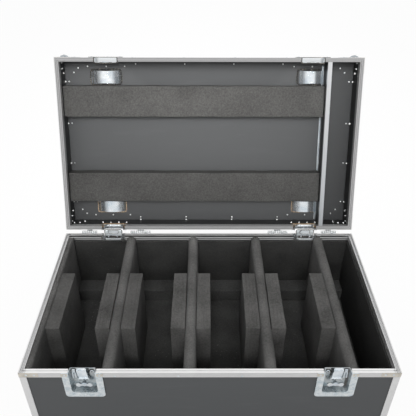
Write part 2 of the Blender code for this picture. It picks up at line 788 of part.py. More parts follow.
def castor_plate(name):
    """Make a castor's top plate with its race and kingpin, about the plate's top."""
    x = PLATE_LENGTH / 2
    y = PLATE_WIDTH / 2
    made = prism(name, rounded(-x, x, -y, y, PLATE_CORNER), -PLATE_THICK, 0, "z")
    race_end = -PLATE_THICK - RACE_HEIGHT
    fuse(made, cylinder("race", (0, 0), RACE_RADIUS, race_end, -PLATE_THICK / 2, "z"))
    nut_top = race_end - GAP - FORK_THICK - GAP
    pin_low = nut_top - NUT_HEIGHT / 2
    pin_high = race_end + RACE_HEIGHT / 2
    fuse(made, cylinder("kingpin", (0, 0), KINGPIN_RADIUS, pin_low, pin_high, "z"))
    nut_low = nut_top - NUT_HEIGHT
    return fuse(made, cylinder("nut", (0, 0), NUT_RADIUS, nut_low, nut_top, "z", NUT_SIDE_COUNT))


def castor_fork(name, drop, lean):
    """Make a swivel fork about its top face: the axle is drop below and lean aside."""
    made = cylinder(name, (0, 0), RACE_RADIUS, -FORK_THICK, 0, "z")
    leg_near = HUB_WIDTH / 2 + GAP
    leg_far = leg_near + LEG_THICK
    foot = arc((lean, -drop), LEG_END_RADIUS, 180, 360, ARC_STEPS * 2)
    head = RACE_RADIUS * LEG_HEAD_SHARE
    outline = foot + [(head, -FORK_THICK / 2), (-head, -FORK_THICK / 2)]
    for side in (-1, 1):
        y0, y1 = sorted((side * leg_near, side * leg_far))
        fuse(made, prism("leg", outline, y0, y1, "y"))
        y0, y1 = sorted((side * (leg_near + LEG_THICK / 2), side * (leg_far + AXLE_HEAD)))
        fuse(made, cylinder("axle_head", (lean, -drop), AXLE_HEAD_RADIUS, y0, y1, "y", NUT_SIDE_COUNT))
    fuse(made, cylinder("axle", (lean, -drop), AXLE_RADIUS, -leg_far, leg_far, "y"))
    bore_low = -FORK_THICK - OVERRUN
    return cut(made, cylinder("king_bore", (0, 0), KINGPIN_RADIUS + GAP, bore_low, OVERRUN, "z"))


def castor_wheel(name):
    """Turn a wheel about its axle: a tyre, a thin web and a wide hub."""
    half = WHEEL_WIDTH / 2
    hub_half = HUB_WIDTH / 2
    web = WHEEL_WEB / 2
    rim = WHEEL_RADIUS - TYRE_THICK
    shoulder = WHEEL_RADIUS - WHEEL_SHOULDER
    bore = AXLE_RADIUS + GAP
    upper = [(bore, hub_half), (HUB_RADIUS, hub_half), (HUB_RADIUS + WHEEL_SHOULDER / 2, web)]
    upper += [(rim - WHEEL_SHOULDER / 2, web), (rim, half)]
    upper += arc((shoulder, half - WHEEL_SHOULDER), WHEEL_SHOULDER, 90, 0, TREAD_STEPS)
    lower = [(r, -along) for r, along in reversed(upper)]
    return turned(name, upper + lower, WHEEL_SEGMENTS)


def divider_xs():
    """Return the middles of the foam dividers from left to right."""
    return [DIVIDER_LAST_X - BAY_WIDTH * back for back in reversed(range(DIVIDER_COUNT))]


def round_topped(left, right, low, high, radius):
    """Return an upright outline with a rounded top."""
    outline = [(left, low), (right, low)]
    outline += arc((right - radius, high - radius), radius, 0, 90, ARC_STEPS)
    return outline + arc((left + radius, high - radius), radius, 90, 180, ARC_STEPS)


def divider(name, centre):
    """Make a foam-wrapped divider, cut out for the floor strip and a latch."""
    left, right = spread(centre, DIVIDER / 2)
    outline = round_topped(left, right, FLOOR_Z + GAP, -FOAM_DROP, DIVIDER / 2 - GAP)
    made = prism(name, outline, -DIVIDER_Y, DIVIDER_Y, "y")
    front = LINE_DEPTH - GAP - STRIP_WIDTH - GAP
    top = FLOOR_Z + GAP + STRIP_HEIGHT + GAP
    low = (left - OVERRUN, front, FLOOR_Z - OVERRUN)
    high = (right + OVERRUN, DIVIDER_Y + OVERRUN, top)
    behind = HALF_DEPTH - LATCH_DEPTH - GAP
    return cut(made, box("strip_notch", low, high), latch_pocket(-1, behind), latch_pocket(1, behind))


def block_outline(left, right, front, back):
    """Return a block's plan with a fine line at each glued layer."""
    layer = (right - left) / BLOCK_LAYERS
    half = LAYER_LINE / 2
    lines = [left + layer * step for step in range(1, BLOCK_LAYERS)]
    outline = [(left, front)]
    for x in lines:
        outline += [(x - half, front), (x, front + LAYER_LINE), (x + half, front)]
    outline += [(right, front), (right, back)]
    for x in reversed(lines):
        outline += [(x + half, back), (x, back - LAYER_LINE), (x - half, back)]
    return outline + [(left, back)]


def block_spans():
    """Return the left and right face of every foam block."""
    spans = [(LEFT_FACE + GAP, LEFT_FACE + GAP + BLOCK)]
    for number, centre in enumerate(divider_xs()):
        left, right = spread(centre, DIVIDER / 2 + GAP)
        spans.append((left - BLOCK, left))
        if number < DIVIDER_COUNT - 1:
            spans.append((right, right + BLOCK))
    return spans


def foam_block(name, left, right):
    """Make one glued foam block on the floor."""
    back = HALF_DEPTH - BLOCK_BACK
    outline = block_outline(left, right, back - BLOCK_LENGTH, back)
    return prism(name, outline, FLOOR_Z + GAP, -BLOCK_DROP, "z")


def floor_strip(name):
    """Make the foam strip that runs along the back of the floor."""
    x0 = LEFT_FACE + GAP
    x1 = HALF_LENGTH - LINE_FACE - LINING - GAP
    y1 = LINE_DEPTH - GAP
    z0 = FLOOR_Z + GAP
    return box(name, (x0, y1 - STRIP_WIDTH, z0), (x1, y1, z0 + STRIP_HEIGHT))


def divider_slots():
    """Return the cutters for the ends of the dividers in the lining."""
    slots = []
    reach = DIVIDER_Y + GAP
    for centre in divider_xs():
        x0, x1 = spread(centre, DIVIDER / 2 + GAP)
        slots.append(box("slot", (x0, -reach, FLOOR_Z), (x1, reach, OVERRUN)))
    return slots


def base_lining(name):
    """Make the foam lining of the floor, the back wall and the right wall."""
    top = -RIM_LIP - GAP
    made = inset_box(name, LINE_FACE, FLOOR_Z - LINING, top)
    low = (-HALF_LENGTH, -HALF_DEPTH, FLOOR_Z)
    high = (HALF_LENGTH - LINE_FACE - LINING, LINE_DEPTH, OVERRUN)
    cut(made, box("room", low, high))
    low = (HALF_LENGTH - LINE_FACE - LINING - OVERRUN, -HALF_DEPTH, FLOOR_Z)
    cut(made, box("front_room", low, (HALF_LENGTH, -LINE_DEPTH, OVERRUN)))
    return cut(made, *divider_slots(), handle_pocket(1))


def lining_front(name):
    """Make the foam lining of the front wall, cut out where a latch dish comes through."""
    x = HALF_LENGTH - LINE_FACE
    y = HALF_DEPTH - LINE_FACE
    made = box(name, (-x, -y, FLOOR_Z + GAP), (x, -LINE_DEPTH - GAP, -RIM_LIP - GAP))
    through = LINE_DEPTH - OVERRUN
    return cut(made, *divider_slots(), latch_pocket(-1, through), latch_pocket(1, through))


def left_board(name):
    """Make the thick foam board on the left wall, with its top rounded at the rim."""
    wall = -HALF_LENGTH + LINE_FACE
    lip = -HALF_LENGTH + RIM_WIDTH + GAP
    step = -RIM_LIP - GAP
    radius = (LEFT_FACE - lip) / 2 - GAP
    outline = round_topped(lip, LEFT_FACE, FLOOR_Z + GAP, -FOAM_DROP, radius)
    outline = [(wall, FLOOR_Z + GAP)] + outline[1:] + [(lip, step), (wall, step)]
    reach = LINE_DEPTH - GAP
    return cut(prism(name, outline, -reach, reach, "y"), handle_pocket(-1))


def latch_pocket(side, reach):
    """Make the room that a latch dish takes: reach is how far the room's back is from y = 0."""
    x0, x1 = spread(side * LATCH_X, LATCH_HALF + GAP)
    return box("latch_pocket", (x0, -HALF_DEPTH, -LATCH_HEIGHT - GAP), (x1, -reach, OVERRUN))


def handle_pocket(side):
    """Make the room that a handle dish takes in a short wall."""
    inner_x = HALF_LENGTH - METAL + SHEET - HANDLE_DEPTH - GAP
    x0, x1 = sorted((side * (HALF_LENGTH + OVERRUN), side * inner_x))
    half_y = HANDLE_HALF_LENGTH + GAP
    z0, z1 = spread(-HANDLE_DROP, HANDLE_HALF_HEIGHT + GAP)
    return box("handle_pocket", (x0, -half_y, z0), (x1, half_y, z1))


def base_shell(name):
    """Make the base's ply box with its cut-outs."""
    made = ply_shell(name, -1, BASE_BOTTOM, FLOOR_Z - LINING - GAP)
    cut(made, *front_cuts(-1, LATCH_HALF, LATCH_HEIGHT), *stay_cuts(-1, STAY_ARCH))
    return cut(made, handle_pocket(-1), handle_pocket(1))


def lid_shell(name):
    """Make the lid's ply box with its cut-outs."""
    made = ply_shell(name, 1, LID_TOP, LID_INNER_DEPTH)
    cut(made, *front_cuts(1, CATCH_HALF, CATCH_HEIGHT), *stay_cuts(1, STAY_ARCH))
    for x in (-CASTOR_X, CASTOR_X):
        for y in (-CASTOR_Y, CASTOR_Y):
            x0, x1 = spread(x, TROUGH_HOLE_X / 2)
            y0, y1 = spread(y, TROUGH_HOLE_Y / 2)
            cut(made, box("dish_hole", (x0, y0, LID_INNER_DEPTH - OVERRUN), (x1, y1, LID_TOP)))
    return made


def foam_bar(name, centre):
    """Make one of the lid's long foam bars."""
    x0 = -HALF_LENGTH + LINE_FACE
    x1 = LID_DIVIDER_X - LID_DIVIDER / 2 - GAP
    y0, y1 = spread(centre, BAR_WIDTH / 2)
    high = LID_INNER_DEPTH - GAP
    outline = rounded(y0, y1, high - BAR_THICK, high, BAR_ROUND)
    return prism(name, outline, x0, x1, "x")


def lid_divider(name):
    """Make the board that parts off the lid's right end."""
    x0, x1 = spread(LID_DIVIDER_X, LID_DIVIDER / 2)
    low = LID_DIVIDER_DROP + CAP_WALL + GAP
    high = LID_INNER_DEPTH - GAP
    made = box(name, (x0, -DIVIDER_Y, low), (x1, DIVIDER_Y, high))
    bulge = DISH_FACE - TROUGH_DEPTH - SHEET - GAP
    for centre in (-CASTOR_Y, CASTOR_Y):
        y0, y1 = spread(centre, TROUGH_HALF_TOP + SHEET + GAP)
        cut(made, box("dish_notch", (x0 - OVERRUN, y0, bulge), (x1 + OVERRUN, y1, high + OVERRUN)))
    return made


def lid_divider_cap(name):
    """Make the metal channel on the lid divider's edge."""
    inner = LID_DIVIDER / 2 + GAP
    outer = inner + CAP_WALL
    low = LID_DIVIDER_DROP
    high = low + CAP_HEIGHT
    floor = low + CAP_WALL
    outline = [(-outer, high), (-outer, low), (outer, low), (outer, high)]
    outline += [(inner, high), (inner, floor), (-inner, floor), (-inner, high)]
    shifted = [(LID_DIVIDER_X + u, v) for u, v in outline]
    return prism(name, shifted, -DIVIDER_Y, DIVIDER_Y, "y")


def make_materials():
    """Return the case's materials by name."""
    return {
        "laminate": material("laminate", (0.075, 0.078, 0.080), 0.55, 0.0),
        "aluminium": material("aluminium", (0.80, 0.81, 0.82), 0.32, 1.0),
        "zinc": material("zinc", (0.62, 0.66, 0.70), 0.30, 1.0),
        "foam": material("foam", (0.055, 0.055, 0.052), 0.95, 0.0),
        "rubber": material("rubber", (0.030, 0.032, 0.035), 0.75, 0.0),
    }


def side_name(side):
    """Name a side of the case as its user sees it from the front."""
    return "left" if side < 0 else "right"


def build_base_structure(frame, paint):
    """Build the base's box, rim and edges."""
    metal = paint["aluminium"]
    finish(base_shell("base_shell"), paint["laminate"], frame)
    finish(rim_profile("base_rim_profile", -1, True, LATCH_HALF), metal, frame)
    finish(rim_front("base_rim_front", -1, True, LATCH_HALF), metal, frame)
    finish(edge_frame("base_edge_frame", -1, BASE_BOTTOM), metal, frame, smooth_deg=SMOOTH_DEG)


def build_base_foam(frame, paint):
    """Build the lining, the floor strip, the dividers and the blocks."""
    finish(base_lining("base_lining"), paint["foam"], frame)
    finish(lining_front("lining_front"), paint["foam"], frame)
    finish(left_board("left_wall_board"), paint["foam"], frame, smooth_deg=SMOOTH_DEG)
    finish(floor_strip("floor_strip_rear"), paint["foam"], frame)
    for number, centre in enumerate(divider_xs(), start=1):
        finish(divider(f"divider_{number}", centre), paint["foam"], frame, smooth_deg=SMOOTH_DEG)
    for number, span in enumerate(block_spans(), start=1):
        finish(foam_block(f"foam_block_{number}", *span), paint["foam"], frame)


def build_latch(side, frame, paint):
    """Build one latch: its dish, hook and butterfly handle."""
    word = side_name(side)
    x = side * LATCH_X
    finish(latch_dish(f"latch_dish_{word}"), paint["zinc"], frame, (x, 0, 0))
    place = (x, -(HALF_DEPTH - HOOK_INSET), -HOOK_PIVOT_DROP)
    hook = finish(latch_hook(f"latch_hook_{word}"), paint["zinc"], frame, place)
    hook.rotation_euler = (math.radians(HOOK_RELEASE_DEG), 0, 0)
    handle = latch_handle(f"latch_handle_{word}")
    finish(handle, paint["zinc"], frame, (x, -HALF_DEPTH, -WING_DROP), SMOOTH_DEG)


def build_side_handle(side, frame, paint):
    """Build one spring handle: its dish and its bail."""
    word = side_name(side)
    finish(handle_dish(f"handle_dish_{word}", side), paint["zinc"], frame, (0, 0, -HANDLE_DROP))
    middle = (SKIN - GAP - SHEET) + (HANDLE_DEPTH - SHEET) / 2
    place = (side * (HALF_LENGTH - middle), 0, BAIL_PIVOT_RISE - HANDLE_DROP)
    finish(handle_bail(f"handle_bail_{word}"), paint["rubber"], frame, place, BAIL_SMOOTH_DEG)


def build_hinge_halves(frame, paint, sign, half_name):
    """Build one half of both stay hinges."""
    for side in (-1, 1):
        made = hinge_stay(f"stay_hinge_{half_name}_{side_name(side)}", sign, side)
        finish(made, paint["zinc"], frame, smooth_deg=SMOOTH_DEG)


def build_castor(side, end, frame, paint):
    """Build one castor: its plate, its fork and its wheel."""
    word = f"{'front' if end < 0 else 'rear'}_{side_name(side)}"
    swivel = (side * (CASTOR_X + TRAIL), end * CASTOR_Y)
    plate_top = CASTOR_HEIGHT - RIM_Z
    finish(castor_plate(f"castor_plate_{word}"), paint["zinc"], frame, (*swivel, plate_top))
    fork_top = plate_top - PLATE_THICK - RACE_HEIGHT - GAP
    drop = fork_top + RIM_Z - WHEEL_RADIUS
    fork = castor_fork(f"castor_fork_{word}", drop, -side * TRAIL)
    finish(fork, paint["zinc"], frame, (*swivel, fork_top), SMOOTH_DEG)
    axle = (side * CASTOR_X, end * CASTOR_Y, WHEEL_RADIUS - RIM_Z)
    finish(castor_wheel(f"castor_wheel_{word}"), paint["rubber"], frame, axle, SMOOTH_DEG)


def build_base(frame, paint):
    """Build everything that stands on the floor."""
    build_base_structure(frame, paint)
    build_base_foam(frame, paint)
    build_hinge_halves(frame, paint, -1, "base")
    for side in (-1, 1):
        build_latch(side, frame, paint)
        build_side_handle(side, frame, paint)
        for end in (-1, 1):
            build_castor(side, end, frame, paint)


def build_lid(hinge, paint):
    """Build the lid closed, in a frame that the hinge has opened."""
    home = (0, -PIVOT_Y, PIVOT_Z)
    frame = empty("lid_frame", home, hinge)
    finish(lid_shell("lid_shell"), paint["laminate"], frame)
    metal = paint["aluminium"]
    finish(rim_profile("lid_rim_profile", 1, False, CATCH_HALF), metal, frame)
    finish(rim_front("lid_rim_front", 1, False, CATCH_HALF), metal, frame)
    finish(edge_frame("lid_edge_frame", 1, LID_TOP), metal, frame, smooth_deg=SMOOTH_DEG)
    finish(foam_bar("foam_bar_front", -BAR_Y), paint["foam"], frame, smooth_deg=SMOOTH_DEG)
    finish(foam_bar("foam_bar_rear", BAR_Y), paint["foam"], frame, smooth_deg=SMOOTH_DEG)
    finish(lid_divider("lid_divider"), paint["laminate"], frame)
    finish(lid_divider_cap("lid_divider_cap"), metal, frame)
    build_hinge_halves(frame, paint, 1, "lid")
    for side in (-1, 1):
        word = side_name(side)
        finish(catch_dish(f"catch_dish_{word}"), paint["zinc"], frame, (side * LATCH_X, 0, 0))
        for end_name, end in (("front", -1), ("rear", 1)):
            place = (side * CASTOR_X, end * CASTOR_Y, DISH_FACE)
            made = castor_dish(f"castor_dish_{end_name}_{word}")
            finish(made, paint["zinc"], frame, place, SMOOTH_DEG)


def main():
    """Build the whole case."""
    clear_scene()
    paint = make_materials()
    base = empty("base_frame", (0, CASE_Y, RIM_Z))
    build_base(base, paint)
    hinge = empty("lid_hinge", (0, CASE_Y + PIVOT_Y, RIM_Z + PIVOT_Z), turn_x=-OPEN_ANGLE)
    build_lid(hinge, paint)


main()
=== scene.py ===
# %% [markdown]
# # An open flight case for lighting fixtures
# The solids of the case come packed, with their joints. This lesson dresses them:
# foam, laminate, aluminium, zinc, rivets and the small fittings that a maker adds.
# Every length is in metres and every place is given in the case's own frame.

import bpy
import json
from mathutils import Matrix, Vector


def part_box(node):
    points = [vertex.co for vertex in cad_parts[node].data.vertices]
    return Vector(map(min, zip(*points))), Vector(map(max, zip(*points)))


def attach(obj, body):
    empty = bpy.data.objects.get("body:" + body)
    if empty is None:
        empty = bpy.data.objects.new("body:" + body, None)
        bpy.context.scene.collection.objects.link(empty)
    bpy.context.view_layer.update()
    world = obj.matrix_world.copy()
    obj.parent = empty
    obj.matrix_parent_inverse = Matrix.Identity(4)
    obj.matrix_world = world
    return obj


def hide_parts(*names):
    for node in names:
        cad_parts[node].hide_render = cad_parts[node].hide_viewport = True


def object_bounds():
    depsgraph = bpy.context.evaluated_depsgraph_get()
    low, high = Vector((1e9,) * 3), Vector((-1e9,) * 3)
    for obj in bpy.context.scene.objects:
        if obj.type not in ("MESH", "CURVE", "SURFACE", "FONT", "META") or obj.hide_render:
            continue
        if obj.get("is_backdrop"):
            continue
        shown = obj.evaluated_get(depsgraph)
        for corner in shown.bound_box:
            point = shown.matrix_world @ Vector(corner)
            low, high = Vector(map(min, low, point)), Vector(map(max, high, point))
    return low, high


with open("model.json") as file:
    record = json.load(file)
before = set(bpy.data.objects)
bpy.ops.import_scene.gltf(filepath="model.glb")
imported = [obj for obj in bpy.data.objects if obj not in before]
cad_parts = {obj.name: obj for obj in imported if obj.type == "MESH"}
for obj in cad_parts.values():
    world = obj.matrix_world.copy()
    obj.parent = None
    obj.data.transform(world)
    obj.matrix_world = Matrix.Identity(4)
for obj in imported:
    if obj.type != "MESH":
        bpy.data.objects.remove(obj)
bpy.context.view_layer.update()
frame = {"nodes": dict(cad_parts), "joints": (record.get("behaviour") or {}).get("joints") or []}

# %% [markdown]
# ## Two half frames
# The base and the lid are easiest to think of closed, each measured from the middle
# of its own rim. The hinge in the record says how far the lid has been swung open, so
# one turn about the hinge carries any closed lid point to where it really is. Latches,
# catches and stays stand in line, so the middle of a latch dish gives the x of all.

# %% Places on the base and on the lid
import json
import math

import bmesh
import bpy
import numpy as np
from mathutils import Matrix, Vector

RIM_LOW, RIM_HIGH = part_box("base_rim_profile")
HALF_X, HALF_Y = RIM_HIGH.x, (RIM_HIGH.y - RIM_LOW.y) / 2
RIM = np.array([0, (RIM_HIGH.y + RIM_LOW.y) / 2, RIM_HIGH.z])
HINGE = next(j for j in frame["joints"] if j["name"] == "lid_hinge")
OPEN = math.radians(HINGE["range_deg"][1])
PIVOT = np.array(HINGE["pos_m"])
HINGE_Y, HINGE_Z = (float(c) for c in (PIVOT - RIM)[1:])


def on_base(points):
    """Shift points measured from the middle of the base's rim into the case's frame."""
    return np.asarray(points, float) + RIM


def span(node):
    """A node's box at rest, measured from the rim's middle, as (low, high)."""
    low, high = (np.array(corner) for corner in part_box(node))
    return low - RIM, high - RIM


def on_lid(points):
    """Turn closed lid points by the opening angle about the hinge line."""
    rel = np.asarray(points, float) + np.array([0, -HINGE_Y, HINGE_Z])
    y = rel[..., 1] * math.cos(OPEN) + rel[..., 2] * math.sin(OPEN)
    z = rel[..., 2] * math.cos(OPEN) - rel[..., 1] * math.sin(OPEN)
    return np.stack([rel[..., 0], y, z], -1) + PIVOT


def placing(body):
    """What is on the lid turns with it; all else is measured from the base's rim."""
    return on_lid if body == "lid" else on_base


DISH_LOW, DISH_HIGH = span("latch_dish_right")
LATCH_X = float(DISH_LOW[0] + DISH_HIGH[0]) / 2
print("rim middle", RIM.round(4), "lid open", round(math.degrees(OPEN), 1))

# %% [markdown]
# ## The camera
# The viewing angle was worked out from the rims' corners: a lens a little over
# normal, held high in front of the case and tipped down by about 36 degrees.

# %% Stand the camera
def add_object(name, data):
    """Put new data into the scene as an object at the origin."""
    made = bpy.data.objects.new(name, data)
    bpy.context.scene.collection.objects.link(made)
    return made


TILT, YAW, ROLL = (math.radians(a) for a in (35.82, 0.277, 0.199))
ahead = np.array([math.sin(YAW) * math.cos(TILT), math.cos(YAW) * math.cos(TILT), -math.sin(TILT)])
level = np.array([math.cos(YAW), -math.sin(YAW), 0.0])
above = np.cross(level, ahead)
right = level * math.cos(ROLL) + above * math.sin(ROLL)
upward = above * math.cos(ROLL) - level * math.sin(ROLL)
lens = bpy.data.cameras.new("camera")
lens.lens, lens.sensor_width = 45.3, 36.0
camera = add_object("camera", lens)
turn = Matrix(np.stack([right, upward, -ahead], 1).tolist())
camera.matrix_world = Matrix.Translation((-0.0134, -1.5547, 1.827)) @ turn.to_4x4()
bpy.context.scene.camera = camera
print("camera at", [round(c, 3) for c in camera.matrix_world.translation])

# %% [markdown]
# ## Writing shader maths as sums
# A node tree is hard to read as boxes and wires. Here a socket is wrapped so that
# ordinary sums add the Math nodes, and one method makes every other node.

# %% A socket that does sums, and a tree that makes nodes
def infix(operation, swapped=False):
    """A method that adds one Math node for two values, as given or swapped."""
    return lambda self, other: self.sum(operation, *((other, self) if swapped else (self, other)))


class Value:
    """An output socket on which + - * < > and abs work, each adding one Math node."""

    __add__, __radd__ = infix("ADD"), infix("ADD", True)
    __sub__, __rsub__ = infix("SUBTRACT"), infix("SUBTRACT", True)
    __mul__, __lt__, __gt__ = infix("MULTIPLY"), infix("LESS_THAN"), infix("GREATER_THAN")
    least, most = infix("MINIMUM"), infix("MAXIMUM")

    def __init__(self, paint, socket):
        self.paint, self.socket = paint, socket

    def sum(self, operation, *values):
        return self.paint.node("Math", dict(enumerate(values)), operation=operation)

    def __abs__(self):
        return self.sum("ABSOLUTE", self)

    def root(self):
        return self.sum("SQRT", self)


class Graph:
    """A node tree, with the few nodes used here."""

    def __init__(self, tree):
        self.tree = tree

    def feed(self, socket, value):
        """Link a value to a socket, or set anything else on it."""
        if isinstance(value, Value):
            self.tree.links.new(value.socket, socket)
        else:
            socket.default_value = value

    def node(self, kind, inputs, output=0, **settings):
        """Make a node: what goes into its sockets, the output wanted, then settings."""
        made = self.tree.nodes.new("ShaderNode" + kind)
        for key, value in settings.items():
            setattr(made, key, value)
        for key, value in inputs.items():
            self.feed(made.inputs[key], value)
        return Value(self, made.outputs[output])

    def ramp(self, value, low, high):
        """0 below low, 1 above high, and even between them."""
        made = self.node("ValToRGB", {"Fac": value})
        for stop, at, grey in zip(made.socket.node.color_ramp.elements, (low, high), (0, 1)):
            stop.position, stop.color = at, (grey, grey, grey, 1)
        return made

    def mix(self, share, first, second):
        """Blend two colours by a share from 0 to 1."""
        pair = [c if isinstance(c, Value) else (*c, 1) for c in (first, second)]
        return self.node("Mix", {0: share, 6: pair[0], 7: pair[1]}, 2, data_type="RGBA")

    def tint(self, colour, shade):
        """Scale a colour by a value."""
        return self.node("VectorMath", {0: colour, "Scale": shade}, operation="SCALE")


print("sums and nodes ready")

# %% [markdown]
# ## A material that knows its place
# Every material reads the piece's own coordinates, and can give them as measured
# from the middle of either rim. So a finish can change at a board's edge.

# %% A material with noise, cells and places
class Paint(Graph):
    """A procedural material that reads the piece's own coordinates."""

    def __init__(self, name):
        self.material = bpy.data.materials.new(name)
        self.material.use_nodes = True
        super().__init__(self.material.node_tree)
        self.shader = self.tree.nodes["Principled BSDF"]
        self.place = self.node("TexCoord", {}, "Object")

    def noise(self, scale, detail=3.0, stretch=(1, 1, 1)):
        """Cloudy noise from 0 to 1, stretched along the axes."""
        at = self.node("Mapping", {"Vector": self.place, "Scale": stretch})
        return self.node("TexNoise", {"Vector": at, "Scale": scale, "Detail": detail})

    def cells(self, scale):
        """Distance to the nearest scattered point."""
        return self.node("TexVoronoi", {"Vector": self.place, "Scale": scale})

    def axis(self, index):
        """One coordinate of the place on the piece."""
        return self.node("SeparateXYZ", {"Vector": self.place}, index)

    def from_base(self):
        """The place measured from the middle of the base's rim."""
        return self.axis(0), self.axis(1) - float(RIM[1]), self.axis(2) - float(RIM[2])

    def from_lid(self):
        """The place measured from the middle of the lid's rim, as it lies when shut."""
        back, up = self.axis(1) - float(PIVOT[1]), self.axis(2) - float(PIVOT[2])
        y = back * math.cos(OPEN) - up * math.sin(OPEN) + HINGE_Y
        return self.axis(0), y, back * math.sin(OPEN) + up * math.cos(OPEN) - HINGE_Z

    def finish(self, colour, roughness, metallic=0.0, height=None, depth=0.0005, strength=0.5):
        """Connect what varies and set what is even straight on the shader."""
        ends = {"Base Color": colour, "Roughness": roughness, "Metallic": metallic}
        if height is not None:
            ends["Normal"] = self.node("Bump", {"Height": height, "Distance": depth, "Strength": strength})
        for key, value in ends.items():
            self.feed(self.shader.inputs[key], value)
        return self.material


print("materials can be made")

# %% [markdown]
# ## Laminate
# The ply is faced with a phenolic film. It is nearly smooth, a little cloudy, and
# catches light softly. Where a hole is sawn through it, the beige layers show, so
# the paint looks for places inside the board's thickness and turns beige there. The
# front cut edges are painted nearly black. Inside, the walls get a darker film as painted
# shade, and the lid beyond its divider is painted darker as the narrow bay's shade. The
# lid is 108 mm deep, the base 305 mm.

# %% Laminate for the boxes
PLY_TONE, SAWN_TONE = (0.5, 0.37, 0.24), (0.24, 0.16, 0.095)
FILM_OUT, FILM_LID, FILM_WALL_PAINTED_SHADE = (0.05, 0.053, 0.056), (0.0417, 0.043, 0.044), (0.02, 0.0205, 0.021)
PANEL, BASE_DEEP = 0.108, 0.3053
SKIN, BOARD, SLACK = 0.0023, 0.009, 0.0006
LID_SPLIT = float(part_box("lid_divider")[1].x) + 0.0005


def ply_layers(paint, grain):
    """Sawn ply: brown and beige layers, softened by a grain."""
    layer = paint.ramp(paint.noise(900.0, 1.0, (0.03, 1.0, 1.0)), 0.4, 0.62)
    return paint.mix(layer * 0.7 + grain * 0.3, SAWN_TONE, PLY_TONE)


def laminate(name, place, inner, panel):
    """Film outside, another inside, painted shade on the inner walls, and sawn ply within the board's
    thickness.
    """
    paint = Paint(name)
    x, y, z = place(paint)
    inset = (HALF_X - abs(x)).least(HALF_Y - abs(y))
    deep = abs(z)
    inside = (inset > SKIN + BOARD - SLACK) * (deep < panel + SLACK)
    # The inner walls get a darker film that is painted shade.
    wall = inside * (deep < panel - SLACK)
    tone = paint.mix(wall, paint.mix(inside, FILM_OUT, inner), FILM_WALL_PAINTED_SHADE)
    # Painted shade: beyond the lid's divider the inside is 28 % darker, as the narrow bay's shade.
    if place is Paint.from_lid:
        tone = paint.tint(tone, 1 - (x > LID_SPLIT) * inside * 0.28)
    cloud, grain = paint.noise(3.5, 4.0), paint.noise(900.0, 2.0)
    streak = paint.ramp(paint.noise(14.0, 5.0, (0.4, 3.0, 3.0)), 0.56, 0.78)
    colour = paint.tint(tone, 0.9 + cloud * 0.16 + grain * 0.06 + streak * 0.08)
    # Cut edges towards the front are painted nearly black, towards the rear they show beige ply.
    layers = paint.mix((y < 0) * 0.85, ply_layers(paint, grain), (0.02, 0.018, 0.016))
    through_wall = (inset > SKIN + SLACK) * (inset < SKIN + BOARD - SLACK) * (deep < panel - 0.01)
    through_panel = (deep > panel + SLACK) * (deep < panel + BOARD - SLACK) * (inset > SKIN + BOARD)
    edge = through_wall.most(through_panel)
    rough = 0.44 + cloud * 0.14 - streak * 0.05 + edge * 0.3
    return paint.finish(paint.mix(edge, colour, layers), rough, 0.0, grain, 0.00015, 0.35)


LAMINATE_BASE = laminate("laminate_base", Paint.from_base, FILM_OUT, BASE_DEEP)
LAMINATE_LID = laminate("laminate_lid", Paint.from_lid, FILM_LID, PANEL)
print("laminates made")

# %% [markdown]
# ## Foam
# Packing foam is thousands of tiny cells cut through. At arm's length that reads as
# a dull, mottled grey with fine dark pores. The wrapped dividers are lightest, the
# lid's bars are warmer, and the lining at the bottom of the box is nearly black.

# %% Foams from one recipe
def foam_paint(name, tone, speck=0.0, mottle=0.5, lighter_below=None):
    """Mottled grey: blotches, two grains and pores; dust in specks; lighter below a height, darker above it.
    """
    paint = Paint(name)
    blotch, pores = paint.noise(9.0, 5.0), paint.cells(520.0)
    coarse, grain = paint.noise(170.0, 3.0), paint.noise(420.0, 3.0)
    mixed = blotch * mottle + coarse * (0.62 - mottle / 2) + grain * (0.38 - mottle / 2)
    colour = paint.mix(paint.ramp(mixed, 0.34, 0.66), [c * 0.5 for c in tone], [c * 1.5 for c in tone])
    hole = 1 - paint.ramp(pores, 0.1, 0.34)
    colour = paint.mix(hole * 0.4, colour, [c * 0.35 for c in tone])
    if speck:
        dust = paint.cells(70.0) < speck
        patch = paint.ramp(paint.noise(5.0, 2.0), 0.52, 0.62)
        colour = paint.mix(dust * patch * 0.5, colour, (0.2, 0.2, 0.19))
    if lighter_below is not None:
        # Below the height the colour is 1.49 times as bright, above it 0.74 times.
        colour = paint.tint(colour, 0.74 + (paint.from_base()[2] < lighter_below) * 0.75)
    height = grain * 0.5 + pores * 0.5 + coarse * 0.6
    return paint.finish(colour, 0.92 + grain * 0.06, 0.0, height, 0.0009, 0.55)


FOAM_DIVIDER = foam_paint("foam_divider", (0.082, 0.081, 0.079))
FOAM_BLOCK = foam_paint("foam_block", (0.067, 0.066, 0.064))
FOAM_STRIP = foam_paint("foam_strip", (0.042, 0.042, 0.041))
FOAM_BAR = foam_paint("foam_bar", (0.045, 0.0444, 0.0427), mottle=0.26)
LINING_SPLIT_Z = span("divider_1")[0][2] + 0.001
FOAM_LINING = foam_paint("foam_lining", (0.029, 0.029, 0.028), speck=0.1, lighter_below=LINING_SPLIT_Z)
print("foams made")

# %% [markdown]
# ## Metals
# The extrusions are mill-finish aluminium: pale and a little streaked, with fine dark lines of
# painted shade in the rim's grooves and painted light and shade on its faces. The stamped
# fittings are zinc plated, so they are brighter, bluer and show faint straw-coloured patches.

# %% Aluminium for the rims and angles
def metal(paint, colour, rough, height, deep=0.0002, metallic=1.0):
    """A metal with a faint relief; less than full metal shows up where it mirrors nothing."""
    return paint.finish(colour, rough, metallic, height, deep, 0.3)


